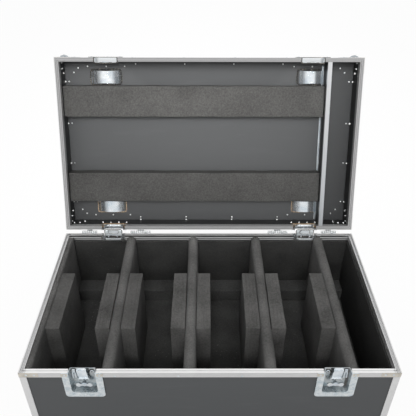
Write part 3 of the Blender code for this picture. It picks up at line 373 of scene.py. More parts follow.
def mill_finish(paint, shade=1.0):
    """Pale metal with soft smudges, drawn lines and a few nicks: (colour, smudge, lines)."""
    smudge, lines = paint.noise(22.0, 5.0), paint.noise(260.0, 3.0, (0.15, 1.0, 1.0))
    nick = 1 - paint.ramp(paint.cells(160.0), 0.02, 0.09)
    colour = paint.mix(smudge * 0.6 + lines * 0.4, (0.7, 0.7, 0.7), (0.88, 0.88, 0.88))
    colour = paint.mix(nick * 0.35, colour, (0.42, 0.42, 0.43))
    return paint.tint(colour, shade), smudge, lines


def rim_paint(name, place, grooves, shade, ends_only=False):
    """Mill finish with fine dark lines of painted shade at given insets from the outer face of the rim."""
    paint = Paint(name)
    colour, smudge, lines = mill_finish(paint, shade)
    x, y, z = place(paint)
    inset = HALF_X - abs(x)
    if ends_only:
        # Painted light and shade on the base's rim: its top 1.07 times as bright, its ends and front face
        # darker.
        front = (y + HALF_Y) < SLACK
        colour = paint.tint(colour, 1.07 - (inset < RIM_WIDE) * 0.2 - front * 0.22)
    else:
        inset = inset.least(HALF_Y - abs(y))
    # Painted shade: a dark line in each groove, within 7.5 mm of the rim's top.
    for at, half in grooves:
        painted_shade_line = 1 - paint.ramp(abs(inset - at) * 1000, half * 500, half * 1000)
        colour = paint.mix(painted_shade_line * 0.72 * (abs(z) < 0.0075), colour, (0.1, 0.1, 0.105))
    return metal(paint, colour, 0.24 + smudge * 0.2, lines)


def edge_paint(name, place, top):
    """Mill finish on the angles and plated steel on the ball at each corner."""
    paint = Paint(name)
    colour, smudge, lines = mill_finish(paint)
    x, y, z = place(paint)
    gaps = [HALF_X - BALL_INSET - abs(x), HALF_Y - BALL_INSET - abs(y), top - BALL_INSET - abs(z)]
    far = gaps[0] * gaps[0] + gaps[1] * gaps[1] + gaps[2] * gaps[2]
    ball = far < (BALL_RADIUS + 0.0008) ** 2
    colour = paint.mix(ball, colour, (0.42, 0.455, 0.475))
    return metal(paint, colour, 0.26 + smudge * 0.2 - ball * 0.12, lines)


print("aluminium ready")

# %% [markdown]
# ## Zinc
# Plating dries in patches of two tones. A latch dish has painted shade towards its bottom,
# a stay has painted shade in its recess, and the braces have yellowed.

# %% Plated sheet
def plated(paint, scale, dull, bright, high=0.65):
    """Zinc in two tones of a given patch size: (colour, patch, fine grain)."""
    patch, fine = paint.noise(scale, 4.0), paint.noise(320.0, 3.0)
    return paint.mix(paint.ramp(patch, 0.35, high), dull, bright), patch, fine


def zinc_paint(name, rough, warm, shade=1.0, metallic=1.0):
    """Plated sheet: blue-grey to straw patches over a bright ground."""
    paint = Paint(name)
    colour, patch, fine = plated(paint, 28.0, (0.6, 0.66, 0.71), (0.82, 0.85, 0.87), 0.7)
    tint = paint.ramp(paint.noise(19.0, 3.0), 0.55, 0.72)
    colour = paint.tint(paint.mix(tint * warm, colour, (0.8, 0.72, 0.56)), shade)
    return metal(paint, colour, rough + patch * 0.16, fine, 0.0001, metallic)


def catch_paint():
    """Bright pressed sheet whose folded border has a fine dark line of painted shadow."""
    paint = Paint("zinc_catch_dish")
    patch, fine = paint.noise(28.0, 4.0), paint.noise(320.0, 3.0)
    x, y, z = paint.from_lid()
    deep = y + HALF_Y
    border = (DISH_HALF - abs(abs(x) - LATCH_X)).least(DISH_DEEP - deep).least(deep + 0.0018)
    # Painted shadow: a fine dark line along the folded border.
    painted_shade_line = 1 - paint.ramp(border * 100, 0.22, 0.36)
    colour = paint.mix(patch, (0.78, 0.81, 0.83), (0.9, 0.92, 0.93))
    colour = paint.mix(painted_shade_line * 0.9 * (abs(z) < 0.012), colour, (0.05, 0.055, 0.06))
    return metal(paint, colour, 0.22 + patch * 0.16, fine, 0.0001)


def latch_paint():
    """Plated sheet with painted shade that darkens it towards the bottom of its recess."""
    paint = Paint("zinc_latch_dish")
    colour, patch, fine = plated(paint, 60.0, (0.58, 0.66, 0.7), (0.84, 0.87, 0.88))
    recess_shade = paint.ramp((paint.from_base()[1] + HALF_Y) * (1 / DISH_DEEP), 0.1, 0.9)
    return metal(paint, paint.tint(colour, 1 - recess_shade * 0.38), 0.2 + patch * 0.16, fine, 0.0001)


def stay_paint():
    """Zinc with painted shade in the recess, and brighter out along the folds of the hinge."""
    paint = Paint("zinc_stay")
    colour, patch, fine = plated(paint, 60.0, (0.6, 0.66, 0.7), (0.84, 0.86, 0.88))
    outer = abs(abs(paint.axis(0)) - LATCH_X) > DISH_HALF
    # Painted shade: in the recess the zinc is 0.45 times as bright.
    colour = paint.mix(outer, paint.tint(colour, 0.45), (0.78, 0.8, 0.81))
    fold = paint.node("Math", {0: paint.axis(0), 1: 0.0045}, operation="PINGPONG")
    colour = paint.tint(colour, 1 - (fold < 0.0028) * outer * 0.34)
    return metal(paint, colour, 0.2 + patch * 0.16, fine, 0.0001, 0.66)


def brace_paint():
    """Dull zinc that has yellowed: warm grey with straw patches."""
    paint = Paint("zinc_brace")
    colour, patch, fine = plated(paint, 34.0, (0.56, 0.53, 0.47), (0.78, 0.74, 0.67))
    return metal(paint, colour, 0.3 + patch * 0.16, fine, 0.0001)


print("zinc ready")

# %% [markdown]
# ## Small things, and the list of finishes
# Sawn edges, rivets' tails and pressings are too small to show more than two tones.

# %% Two tones, sawn ply, and all finishes by name
def two_tone(name, cloud, tones, rough, metallic, depth, strength, edge=None):
    """Two tones blended by one noise, hard-edged on request; rough is (least, added)."""
    paint = Paint(name)
    share = paint.noise(*cloud)
    if edge:
        share = paint.ramp(share, *edge)
    colour = paint.mix(share, *tones)
    return paint.finish(colour, share * rough[1] + rough[0], metallic, share, depth, strength)


def ply_paint():
    """Sawn ply on its own, with a grain along the case."""
    paint = Paint("ply_edge")
    grain = paint.noise(140.0, 4.0, (0.2, 1.0, 1.0))
    return paint.finish(ply_layers(paint, grain), 0.75 + grain * 0.12, 0.0, grain, 0.0006, 0.6)


BALL_INSET, BALL_RADIUS, RIM_WIDE = 0.012, 0.024, 0.022
DISH_HALF, DISH_DEEP = 0.046, 0.0205
LID_TOP = 0.1193
BASE_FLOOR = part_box("base_edge_frame")[0].z + BALL_INSET - float(RIM[2])
LID_GROOVES = ((0.0038, 0.0016), (0.0072, 0.0009), (0.0112, 0.0017), (0.0146, 0.0009))
BASE_GROOVES = ((0.0042, 0.0014), (0.0085, 0.0012), (0.0128, 0.0014))
# One aluminium in two copies: the lid's rim at 0.8 is painted shade, the base's at 1.06 painted light.
RIM_LID = rim_paint("aluminium_lid_rim", Paint.from_lid, LID_GROOVES, 0.8)
RIM_BASE = rim_paint("aluminium_base_rim", Paint.from_base, BASE_GROOVES, 1.06, True)
EDGE_LID = edge_paint("aluminium_lid_edges", Paint.from_lid, LID_TOP)
EDGE_BASE = edge_paint("aluminium_base_edges", Paint.from_base, -BASE_FLOOR)
ZINC = zinc_paint("zinc_sheet", 0.2, 0.25)
ZINC_DISH = zinc_paint("zinc_dish", 0.12, 0.05, 1.0, 0.9)
BRACE_ZINC = brace_paint()
LATCH, CATCH, STAY = latch_paint(), catch_paint(), stay_paint()
RIVET = zinc_paint("rivet_steel", 0.26, 0.08)
BALL_ZINC = zinc_paint("zinc_ball_corner", 0.22, 0.1, 0.62)
DIVIDER_ANGLE = zinc_paint("aluminium_divider_angle", 0.26, 0.04, 0.78, 0.55)
HOOK = zinc_paint("zinc_hook", 0.16, 0.02, 1.1, 0.55)
STAY_ZINC = two_tone("zinc_stay_pressing", (40.0, 2.0), ((0.66, 0.71, 0.74), (0.95, 0.97, 0.98)),
                     (0.24, 0.1), 0.6, 0.0001, 0.3)
TAIL = two_tone("rivet_tail", (90.0, 3.0), ((0.56, 0.58, 0.58), (0.82, 0.83, 0.82)),
                (0.4, 0.2), 0.22, 0.0005, 0.5)
PLY_EDGE = ply_paint()
# Dark ragged edges for the front holes, and painted shade for creases, slots and mouths.
DARK_EDGE_AND_SHADE = two_tone("dark_edge_and_painted_shade", (230.0, 2.0), ((0.016, 0.015, 0.014), (0.2, 0.18, 0.15)),
                  (0.8, 0.1), 0.0, 0.0006, 0.6, (0.58, 0.66))
print("metals and edges made")

# %% [markdown]
# ## Channel and hand grips
# The lid's divider is capped by a brushed channel. A side handle is a bent steel bar
# with a rubber sleeve where the hand holds it.

# %% Cap and hand grips
def cap_paint():
    """The divider's channel: brushed along its length, with painted light to the front and painted shade
    towards the rear.
    """
    paint = Paint("aluminium_cap")
    brush = paint.noise(120.0, 4.0, (6.0, 0.06, 0.06))
    # Painted light and shade: lighter towards the front of the channel, darker towards the rear.
    shade = (0.5 - paint.from_lid()[1] * 1.4) * 0.8 + paint.noise(2.2, 2.0) * 0.2
    colour = paint.mix(brush * 0.45 + shade * 0.55, (0.34, 0.37, 0.4), (0.98, 0.98, 0.98))
    return metal(paint, colour, 0.3 + brush * 0.15, brush)


def bail_paint():
    """A steel bail whose middle 72 mm is sleeved in black rubber."""
    paint = Paint("handle_bail")
    sleeve = abs(paint.axis(1) - float(RIM[1])) < 0.036
    scuff, pebble = paint.noise(38.0, 5.0), paint.cells(480.0)
    black = paint.mix(scuff, (0.0168, 0.0175, 0.0189), (0.036, 0.0375, 0.0405))
    colour = paint.mix(sleeve, (0.66, 0.69, 0.71), black)
    return paint.finish(colour, 0.26 + sleeve * 0.4 + scuff * 0.12, 1 - sleeve, pebble, 0.0003, 0.35)


CAP = cap_paint()
BAIL = bail_paint()
print("cap and handle made")

# %% [markdown]
# ## Castor wheels
# One solid holds both the tyre and the wheel body. They differ by how far a point
# lies from the axle, so the material measures that distance and changes there.

# %% Wheel materials
def wheel_paint(name, centre):
    """Tyre outside 38 mm from the axle, pale moulded body inside, steel at the hub."""
    paint = Paint(name)
    dx, dz = paint.axis(0) - centre[0], paint.axis(2) - centre[2]
    far = (dx * dx + dz * dz).root()
    scuff = paint.noise(60.0, 4.0)
    tyre, hub = far > TYRE_IN, far < HUB_OUT
    body = paint.mix(scuff, (0.2, 0.21, 0.22), (0.3, 0.31, 0.32))
    black = paint.mix(scuff, (0.018, 0.02, 0.023), (0.045, 0.048, 0.052))
    colour = paint.mix(hub, paint.mix(tyre, body, black), (0.62, 0.64, 0.66))
    return paint.finish(colour, 0.48 + tyre * 0.22 + scuff * 0.1, hub, scuff, 0.0003, 0.3)


TYRE_IN, HUB_OUT = 0.038, 0.011
WHEEL_PAINT = {}
for joint in frame["joints"]:
    if joint["name"].startswith("roll_"):
        corner = joint["name"][len("roll_"):]
        WHEEL_PAINT[corner] = wheel_paint("wheel_" + corner, joint["pos_m"])
print("wheel materials", sorted(WHEEL_PAINT))

# %% [markdown]
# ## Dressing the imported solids
# The solids whose shape is already right keep it and only get their finish.

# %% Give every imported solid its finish
FINISHES = (
    ("base_shell", LAMINATE_BASE), ("lid_shell", LAMINATE_LID), ("lid_divider_cap", CAP),
    ("lid_divider", LAMINATE_LID), ("lid_rim", RIM_LID), ("base_rim", RIM_BASE),
    ("lid_edge_frame", EDGE_LID), ("base_edge_frame", EDGE_BASE), ("castor_dish_", ZINC_DISH),
    ("catch_dish_", CATCH), ("stay_hinge_", STAY), ("latch_dish_", LATCH), ("latch_hook_", HOOK),
    ("handle_bail_", BAIL), ("foam_bar", FOAM_BAR), ("foam_block", FOAM_BLOCK), ("divider_", FOAM_DIVIDER),
    ("base_lining", FOAM_LINING), ("lining_front", FOAM_LINING), ("left_wall_board", FOAM_DIVIDER),
    ("floor_strip", FOAM_STRIP),
)


def finish_for(node):
    """Choose a node's finish by the first row whose word starts its name."""
    if node.startswith("castor_wheel_"):
        return WHEEL_PAINT[node[len("castor_wheel_"):]]
    return next((made for word, made in FINISHES if node.startswith(word)), ZINC)


for name, solid in frame["nodes"].items():
    solid.data.materials.clear()
    solid.data.materials.append(finish_for(name))
print(len(frame["nodes"]), "solids dressed")

# %% [markdown]
# ## Surfaces from arrays
# Every new shape here is a grid of points: rings of the same number of points, one
# after another. Neighbouring rings are joined by quads and each end by a fan.

# %% Join rings into a closed skin
def unit(rows):
    """Rows scaled to length one."""
    return rows / np.linalg.norm(rows, axis=1, keepdims=True)


def polar(radius, angle):
    """r (cos a, sin a)."""
    return np.stack([radius * np.cos(angle), radius * np.sin(angle)], -1)


def lifted(rings, heights):
    """Rings of (u, v) points with a third coordinate, one per ring or per point of a ring."""
    return np.concatenate([rings, np.broadcast_to(heights, rings.shape[:2])[..., None]], -1)


def skin(grid):
    """Quads join ring m to ring m+1 all round; a fan about its mean closes each end."""
    rows, cols = grid.shape[:2]
    m, n = np.meshgrid(np.arange(rows - 1), np.arange(cols), indexing="ij")
    here, there = m * cols + n, m * cols + (n + 1) % cols
    quads = np.stack([here, there, there + cols, here + cols], -1).reshape(-1, 4)
    n = np.arange(cols)
    after, base = (n + 1) % cols, (rows - 1) * cols
    first = np.stack([after, n, np.full(cols, rows * cols)], -1)
    last = np.stack([n + base, after + base, np.full(cols, rows * cols + 1)], -1)
    points = np.vstack([grid.reshape(-1, 3), grid[0].mean(0), grid[-1].mean(0)])
    return points, [*quads.tolist(), *first.tolist(), *last.tolist()]


def build(name, parts, finish, body, smooth):
    """Merge closed parts into one object at the origin that rides on a body."""
    points, faces, start = [], [], 0
    for part_points, part_faces in parts:
        points.append(part_points)
        faces += [[index + start for index in face] for face in part_faces]
        start += len(part_points)
    mesh = bpy.data.meshes.new(name)
    mesh.from_pydata(np.vstack(points).tolist(), [], faces)
    shape = bmesh.new()
    shape.from_mesh(mesh)
    bmesh.ops.recalc_face_normals(shape, faces=shape.faces)
    shape.to_mesh(mesh)
    shape.free()
    mesh.shade_smooth()
    mesh.set_sharp_from_angle(angle=math.radians(smooth))
    mesh.materials.append(finish)
    made = add_object(name, mesh)
    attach(made, body)
    print(name, len(mesh.polygons), "faces")
    return made


# %% [markdown]
# ## A block of foam
# Foam is cut, not moulded: broad flat faces, edges that have softened by a
# millimetre or two, and sides that are never quite straight. The ring is a rounded
# rectangle, and near each end it shrinks by a quarter circle to round that edge too.

# %% Rounded rings and foam blocks
def ring(u0, u1, v0, v1, top, low, turns=6, flats=4):
    """A rounded rectangle per station: arc = centre + r (cos t, sin t), flats between arcs."""
    t = np.linspace(0, math.pi / 2, turns)
    corners = ((u1 - top, v1 - top, top), (u0 + top, v1 - top, top),
               (u0 + low, v0 + low, low), (u1 - low, v0 + low, low))
    arcs = [np.stack([cu, cv], -1) + polar(r, t + k * math.pi / 2) for k, (cu, cv, r) in enumerate(corners)]
    share = np.linspace(0, 1, flats + 2)[1:-1, None]
    loops = []
    for k, bend in enumerate(arcs):
        start, end = bend[:, -1:], arcs[(k + 1) % 4][:, :1]
        loops += [bend, start + (end - start) * share]
    return np.concatenate(loops, 1)


ORDER = {"x": (2, 0, 1), "y": (0, 2, 1), "z": (0, 1, 2)}


def stations(along, edge, count, breaks):
    """Where the rings stand, and how far each shrinks: e (1 - sin t) at e (1 - cos t)."""
    t = np.linspace(0, math.pi / 2, 5)
    inner = list(np.linspace(along[0] + edge, along[1] - edge, count)[1:-1])
    inner += [b + d for b in breaks for d in (-0.0003, 0.0003)]
    ends = along[0] + edge * (1 - np.cos(t)), along[1] - edge * (1 - np.cos(t[::-1]))
    inset = edge * (1 - np.sin(t)), np.zeros(len(inner)), edge * (1 - np.sin(t[::-1]))
    return np.concatenate([ends[0], sorted(inner), ends[1]]), np.concatenate(inset)


def foam_part(u, v, along, axis, top=0.002, low=0.001, edge=0.002, lean=None, breaks=(),
              floor=None, roof=None, count=24):
    """A bar of rounded rings; lean, floor and roof run its sides, bottom and top along it."""
    s, inset = stations(along, edge, count, breaks)
    side = 0 * s if lean is None else lean(s)
    v0 = (v[0] if floor is None else floor(s)) + inset
    v1 = (v[1] if roof is None else roof(s)) - inset
    sides = [np.broadcast_to(a, s.shape)[:, None] for a in (u[0] + inset + side, u[1] - inset + side, v0, v1)]
    flat = ring(*sides, *[np.maximum(r - inset, 0.0001)[:, None] for r in (top, low)])
    middle = flat.mean(1, keepdims=True)
    shrink = np.array([0.2, 0.6])[:, None, None]
    flat = np.concatenate([middle[0] + (flat[0] - middle[0]) * shrink, flat,
                           middle[-1] + (flat[-1] - middle[-1]) * shrink[::-1]])
    s = np.concatenate([[s[0]] * 2, s, [s[-1]] * 2])
    return lifted(flat, s[:, None])[..., ORDER[axis]]


def waver(seed, size=0.0004):
    """A side that wanders: two sines of different pitch."""
    return lambda s: size * (np.sin(31 * s + seed) + 0.6 * np.sin(73 * s + 2.3 * seed))


def foam(name, grids, finish, body, nodes):
    """Build foam pieces that stand for packed foam solids."""
    made = build(name, [skin(placing(body)(grid)) for grid in grids], finish, body, 50.0)
    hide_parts(*nodes)


# %% [markdown]
# ## The dividers
# Each divider is wrapped foam with a top as round as it is thick. It steps up at the
# back to pass over the strip that lies along the floor.

# %% Four dividers
SHY, SEAT_GAP = 0.0001, 0.0004
FLOOR = span("divider_1")[0][2] - SHY
STRIP_LOW, STRIP_HIGH = span("floor_strip_rear")
STEP = STRIP_LOW[1] - 0.0008
DIVIDERS = [span(f"divider_{number}") for number in range(1, 5)]


def divider_floor(s):
    """The underside steps up over the strip at the back."""
    return np.where(s > STEP, STRIP_HIGH[2] + 0.0007, FLOOR + 0.0003)


for number, (low, high) in enumerate(DIVIDERS, start=1):
    grid = foam_part((low[0] + SHY, high[0] - SHY), (FLOOR, high[2]), (low[1], high[1]), "y",
                     (high[0] - low[0]) / 2 - 0.0006, 0.0015, 0.006, waver(number),
                     (STEP,), divider_floor, None, 34)
    foam(f"divider_foam_{number}", [grid], FOAM_DIVIDER, "base", [f"divider_{number}"])

# %% [markdown]
# ## The blocks that hold a fixture
# A block is four sheets glued together. The joints show as fine lines along the top
# and down both ends, so each sheet is made by itself and set against the next. The
# first block is one piece.

# %% Eight blocks
rng = np.random.default_rng(7)
for number in range(1, 9):
    low, high = span(f"foam_block_{number}")
    joints = np.linspace(low[0], high[0], 2 if number == 1 else 5)
    sheets = []
    for left, end in zip(joints[:-1], joints[1:]):
        slip = rng.uniform(0, 0.0006, 2)
        sheets.append(foam_part((left, end - SHY), (low[1], high[1] - slip[0]),
                                (FLOOR + SEAT_GAP, high[2] - slip[1]), "z", 0.0006, 0.0006, 0.0008, count=8))
    foam(f"block_foam_{number}", sheets, FOAM_BLOCK, "base", [f"foam_block_{number}"])

# %% [markdown]
# ## The lining
# Thin sheets are glued to the floor and walls between the dividers. The front ones
# are cut down where a latch dish comes through.

# %% Lining sheets, the left board and the floor strip
LINING_LOW, LINING_HIGH = span("base_lining")
BOARD_LOW, BOARD_HIGH = span("left_wall_board")
THICK = 0.0098
SHEET_Y = LINING_HIGH[1]
LATCH_ROOM, LATCH_FOOT = 0.0446, -0.1008
TOP = LINING_HIGH[2]
bay_ends = [BOARD_HIGH[0] + SEAT_GAP, LINING_HIGH[0] - THICK]
bay_ends += [x + side * 0.0003 for low, high in DIVIDERS for x, side in ((low[0], -1), (high[0], 1))]
BAYS = np.sort(bay_ends).reshape(-1, 2)


def lining_top(s):
    """The sheet's top drops to the foot of the latch dish where one stands behind it."""
    return np.where(np.abs(np.abs(s) - LATCH_X) < LATCH_ROOM, LATCH_FOOT, TOP)


def wall_sheet(y0, y1, ends, roof, cuts):
    """A sheet on a long wall of one bay."""
    return foam_part((y0, y1), (FLOOR, TOP), ends, "x", 0.0015, 0.001, 0.001, None, cuts, None, roof)


latch_sides = [side * LATCH_X + way * LATCH_ROOM for side in (-1, 1) for way in (-1, 1)]
sheets = [foam_part((LINING_LOW[0], LINING_HIGH[0]), (-SHEET_Y, SHEET_Y),
                    (LINING_LOW[2], FLOOR - SHY), "z", 0.001, 0.001, 0.0008, count=4)]
for left, end in BAYS:
    cuts = [c for c in latch_sides if left + 0.004 < c < end - 0.004]
    sheets.append(wall_sheet(-SHEET_Y, THICK - SHEET_Y, (left, end), lining_top, cuts))
    sheets.append(wall_sheet(SHEET_Y - THICK, SHEET_Y, (left, end), None, ()))
sheets.append(foam_part((LINING_HIGH[0] - THICK, LINING_HIGH[0]), (FLOOR, TOP),
                        (THICK - SHEET_Y, SHEET_Y - THICK), "y", 0.0015, 0.001, 0.001))
foam("lining_foam", sheets, FOAM_LINING, "base", ["base_lining", "lining_front"])
board = foam_part((BOARD_LOW[0], BOARD_HIGH[0]), (FLOOR + SEAT_GAP, BOARD_HIGH[2]),
                  (BOARD_LOW[1], BOARD_HIGH[1]), "y", 0.0088, 0.001, 0.005, waver(5, 0.0003))
foam("left_board_foam", [board], FOAM_DIVIDER, "base", ["left_wall_board"])
strip = foam_part((STRIP_LOW[1], STRIP_HIGH[1]), (FLOOR + SEAT_GAP, STRIP_HIGH[2]),
                  (BAYS[0, 0], BAYS[-1, 1]), "x", 0.002, 0.001, 0.002, waver(9, 0.0003), count=60)
foam("floor_strip_foam", [strip], FOAM_STRIP, "base", ["floor_strip_rear"])

# %% [markdown]
# ## The lid's bars
# Two thick bars press on the fixtures when the lid is shut. They were cut with a
# knife, so their long edges are still crisp.

# %% Two bars
BAR_Y, BAR_HALF, BAR_DEEP, BAR_ENDS = 0.1775, 0.0614, 0.06, (-0.588, 0.4632)
for word, side in (("front", -1), ("rear", 1)):
    bar = foam_part((side * BAR_Y - BAR_HALF, side * BAR_Y + BAR_HALF),
                    (PANEL - BAR_DEEP, PANEL - SEAT_GAP), BAR_ENDS, "x",
                    0.001, 0.003, 0.003, waver(side * 7, 0.0006), count=70)
    foam(f"bar_foam_{word}", [bar], FOAM_BAR, "lid", [f"foam_bar_{word}"])

# %% [markdown]
# ## Thin plates
# Braces, tabs, pads and the leaves of the ball corners are all flat outlines with a
# small bevel. An outline is drawn in two directions, raised along a third, and laid
# on the face that carries it.

# %% Plates laid on a face
FRONT, FLIPPED = ((1, 0, 0), (0, 0, 1), (0, -1, 0)), ((1, 0, 0), (0, 0, -1), (0, -1, 0))
ABOVE, BELOW = ((1, 0, 0), (0, 1, 0), (0, 0, 1)), ((1, 0, 0), (0, 1, 0), (0, 0, -1))


def plate(outline, low, high, bevel=0.0004):
    """Raise an outline from low to high; the top ring shrinks by the bevel, then to its mean."""
    middle = outline.mean(0)
    reach = np.linalg.norm(outline - middle, axis=1).mean()
    shares = np.reshape((1, 1, 1 - bevel / reach, 0.7, 0.35), (-1, 1, 1))
    heights = np.reshape((low, high - bevel, high, high, high), (-1, 1))
    return lifted(middle + (outline - middle) * shares, heights)


def oblong(u0, u1, v0, v1, radius=0.002):
    """The outline of a rounded rectangle."""
    return ring(*[np.array([[c]]) for c in (u0, u1, v0, v1, radius, radius)], 5, 2)[0]


def laid(points, origin, across, along, out):
    """Carry (u, v, w) on to a face: origin + u across + v along + w out."""
    return points @ np.array([across, along, out], float) + np.array(origin, float)


def in_line(grids, y, z, face):
    """Copies of grids at a given y and z, in line with the left and the right latch."""
    return [laid(grid, (side * LATCH_X, y, z), *face) for side in (-1, 1) for grid in grids]


def trim(name, grids, finish, body):
    """Build a piece of metal trim from grids given closed."""
    build(name, [skin(placing(body)(grid)) for grid in grids], finish, body, 40.0)


# %% [markdown]
# ## Rivets
# A rivet head is a low dome. Hundreds are needed, so one dome is worked out and then
# placed at every point by array sums, turned to face along each surface's normal.

# %% Domes at many points at once
def dome_frames(normals):
    """For each normal, three unit rows: across, along and up."""
    up = unit(normals)
    guide = np.where(np.abs(up[:, 2:]) < 0.9, [[0.0, 0.0, 1.0]], [[0.0, 1.0, 0.0]])
    across = unit(np.cross(up, guide))
    return np.stack([across, np.cross(up, across), up], 1)


def domes(places, normals, radius, height):
    """r = R cos t and h = H sin t for t from 0 to 90 degrees, copied to each place."""
    t = np.radians([0, 0, 35, 65])
    around = np.linspace(0, math.tau, 10, endpoint=False)
    r, h = radius * np.cos(t), height * np.sin(t)
    h[0] = -0.0004
    local = lifted(polar(r[:, None], around), h[:, None])
    parts = []
    for place, turned in zip(places, dome_frames(normals)):
        points, faces = skin(local @ turned + place)
        points[-1] = place + turned[2] * height
        parts.append((points, faces))
    return parts


def rivets(name, rows, body, radius=0.0042, height=0.0016, finish=RIVET):
    """Build one piece that holds all the rivets of a list of (place, normal) pairs."""
    spots, normals = (np.array(column, float) for column in zip(*rows))
    where = placing(body)(spots)
    outward = placing(body)(spots + normals) - where
    build(name, domes(where, outward, radius, height), finish, body, 50.0)


def fixed(name, sheet, proud, faces, finish, body):
    """Lay one plate on each (rivets, origin, across, along, out), and list its rivets' heads."""
    trim(name, [laid(sheet, *face) for spots, *face in faces], finish, body)
    return [(laid(np.array([*spot, proud]), *face), face[3]) for spots, *face in faces for spot in spots]


# %% [markdown]
# ## Ball corners
# Each outer corner has a pressed ball with three leaves, one on each face. A leaf is
# a quarter of a disc, held by two or three rivets near its rounded edge.

# %% Leaves and their rivets
LEAF, METAL = 0.084, 0.0016
TOP_RIVETS = ((0.047, 0.0585), (0.066, 0.0405))
SIDE_RIVETS = ((0.0205, 0.062), (0.043, 0.059), (0.061, 0.04))
CORNERS = ((-1, -1), (-1, 1), (1, -1), (1, 1))
HEADS = {}


def leaf_outline():
    """Quarter disc with two lobes: R (1 - 0.04 (1 + cos 8t)) (cos t, sin t)."""
    t = np.linspace(0.02, math.pi / 2 - 0.02, 22)
    return np.vstack([[(0.0006, 0.0006)], polar(LEAF * (1 - 0.04 * (1 + np.cos(8 * t))), t)])


def corner_faces(top, sign):
    """The three faces of each corner of one half."""
    faces = []
    for sx, sy in CORNERS:
        origin = (sx * HALF_X, sy * HALF_Y, top)
        faces += [(TOP_RIVETS, origin, (-sx, 0, 0), (0, -sy, 0), (0, 0, sign)),
                  (SIDE_RIVETS, origin, (-sx, 0, 0), (0, 0, -sign), (0, sy, 0)),
                  (SIDE_RIVETS, origin, (0, -sy, 0), (0, 0, -sign), (sx, 0, 0))]
    return faces


leaf = plate(leaf_outline(), -0.0021, METAL, 0.0008)
for body, sign, top in (("lid", 1, LID_TOP), ("base", -1, BASE_FLOOR)):
    HEADS[body] = fixed(f"{body}_ball_corners", leaf, METAL, corner_faces(top, sign), BALL_ZINC, body)

# %% [markdown]
# ## Corner braces and latch tabs
# A folded strip wraps the rim at each upright corner, and small ears beside each
# latch and catch carry one rivet each.

# %% Braces and tabs
BRACE, BRACE_THICK = (-0.0008, 0.0616, 0.0008, 0.02), 0.0009
TAB, TAB_THICK = (0.045, 0.0665, 0.0035, 0.0165, 0.0035), 0.0022
BRACE_RIVETS, TAB_RIVET = ((0.023, 0.0104), (0.0488, 0.0104)), ((0.055, 0.0104),)


def brace_faces(sign):
    """Both upright faces of the rim at every corner."""
    return [(BRACE_RIVETS, (sx * HALF_X, sy * HALF_Y, 0), across, (0, 0, sign), out) for sx, sy in CORNERS
            for across, out in (((-sx, 0, 0), (0, sy, 0)), ((0, -sy, 0), (sx, 0, 0)))]


def tab_faces(sign):
    """Both sides of each dish in the front of the rim."""
    return [(TAB_RIVET, (side * LATCH_X, -HALF_Y, 0), (way, 0, 0), (0, 0, sign), (0, -1, 0))
            for side in (-1, 1) for way in (-1, 1)]


wing, ear = plate(oblong(*BRACE), -0.0002, BRACE_THICK), plate(oblong(*TAB), -0.0002, TAB_THICK)
for body, sign, ears in (("base", -1, "latch_tabs"), ("lid", 1, "catch_tabs")):
    HEADS[body] += fixed(f"{body}_corner_braces", wing, BRACE_THICK, brace_faces(sign), BRACE_ZINC, body)
    HEADS[body] += fixed(ears, ear, TAB_THICK, tab_faces(sign), BRACE_ZINC, body)

# %% [markdown]
# ## Sawn edges and creases
# A strip can follow any path. It stands for the splintered edge of a sawn hole, and, as
# painted shade, for the dark crease where a sheet has been folded or pressed.

# %% Strips that follow a path
SUNK = 0.0004


def tape(path, closed, wide, proud, rough_edge=0.0, seed=0):
    """A strip beside a path in (u, v): its outer edge stands off along the path's normal."""
    nearby = np.roll(path, -1, 0) - np.roll(path, 1, 0)
    if not closed:
        nearby[[0, -1]] = path[1] - path[0], path[-1] - path[-2]
    outward = unit(np.stack([nearby[:, 1], -nearby[:, 0]], -1))
    ragged = 1 + rough_edge * np.random.default_rng(seed).uniform(-1, 1, (len(path), 1))
    far = path + outward * wide * ragged
    grid = lifted(np.stack([path, far, far, path], 1), [-SUNK, -SUNK, proud, proud])
    return np.concatenate([grid, grid[:1]]) if closed else grid


def resampled(path, step):
    """Points at an even step along a closed path."""
    loop = np.vstack([path, path[:1]])
    run = np.concatenate([[0], np.cumsum(np.linalg.norm(np.diff(loop, axis=0), axis=1))])
    at = np.arange(0, run[-1], step)
    return np.stack([np.interp(at, run, loop[:, k]) for k in (0, 1)], -1)


def seam(outline, wide, proud):
    """A dark strip of painted shade in the crease about a closed outline."""
    return tape(resampled(outline, 0.003), True, wide, proud)


def circle(u, v, radius):
    """A round outline of 28 points: (u + r cos t, v + r sin t)."""
    t = np.linspace(0, math.tau, 28, endpoint=False)
    return (u, v) + polar(radius, t)


# %% [markdown]
# ## Inside the latch dishes
# A latch dish is pressed with a forked pad on one side of the hook and a round boss
# on the other, each ringed by a dark strip of painted shade. The hook ends in a broad lug.

# %% Pads, bosses, creases and lugs
DISH_FACE, LUG_FACE = 0.019 - HALF_Y, 0.0002 - HALF_Y
PAD, PAD_FEET = (-0.035, -0.024, -0.021, -0.003, 0.003), ((-0.037, -0.032), (-0.028, -0.023))
BOSS, BOSS_R, CREASE_X = (0.028, -0.015), 0.007, (-0.0172, 0.0172)
LUG, LUG_LOW, LUG_TOP = (-0.0135, 0.0135, 0, 0.0056, 0.0015), 0.013, 0.0162


def in_dishes(grids):
    """Copies of grids on the bottom of both latch dishes; u runs towards the case's middle."""
    return [laid(grid, (side * LATCH_X, DISH_FACE, 0), (-side, 0, 0), (0, 0, 1), (0, -1, 0))
            for side in (-1, 1) for grid in grids]


pads = [plate(circle(*BOSS, BOSS_R), -0.0008, 0.0034, 0.0014)]
pads += [plate(oblong(*pad), -0.0008, 0.003, 0.001)
         for pad in (PAD, *((*foot, -0.048, -0.02, 0.0024) for foot in PAD_FEET))]
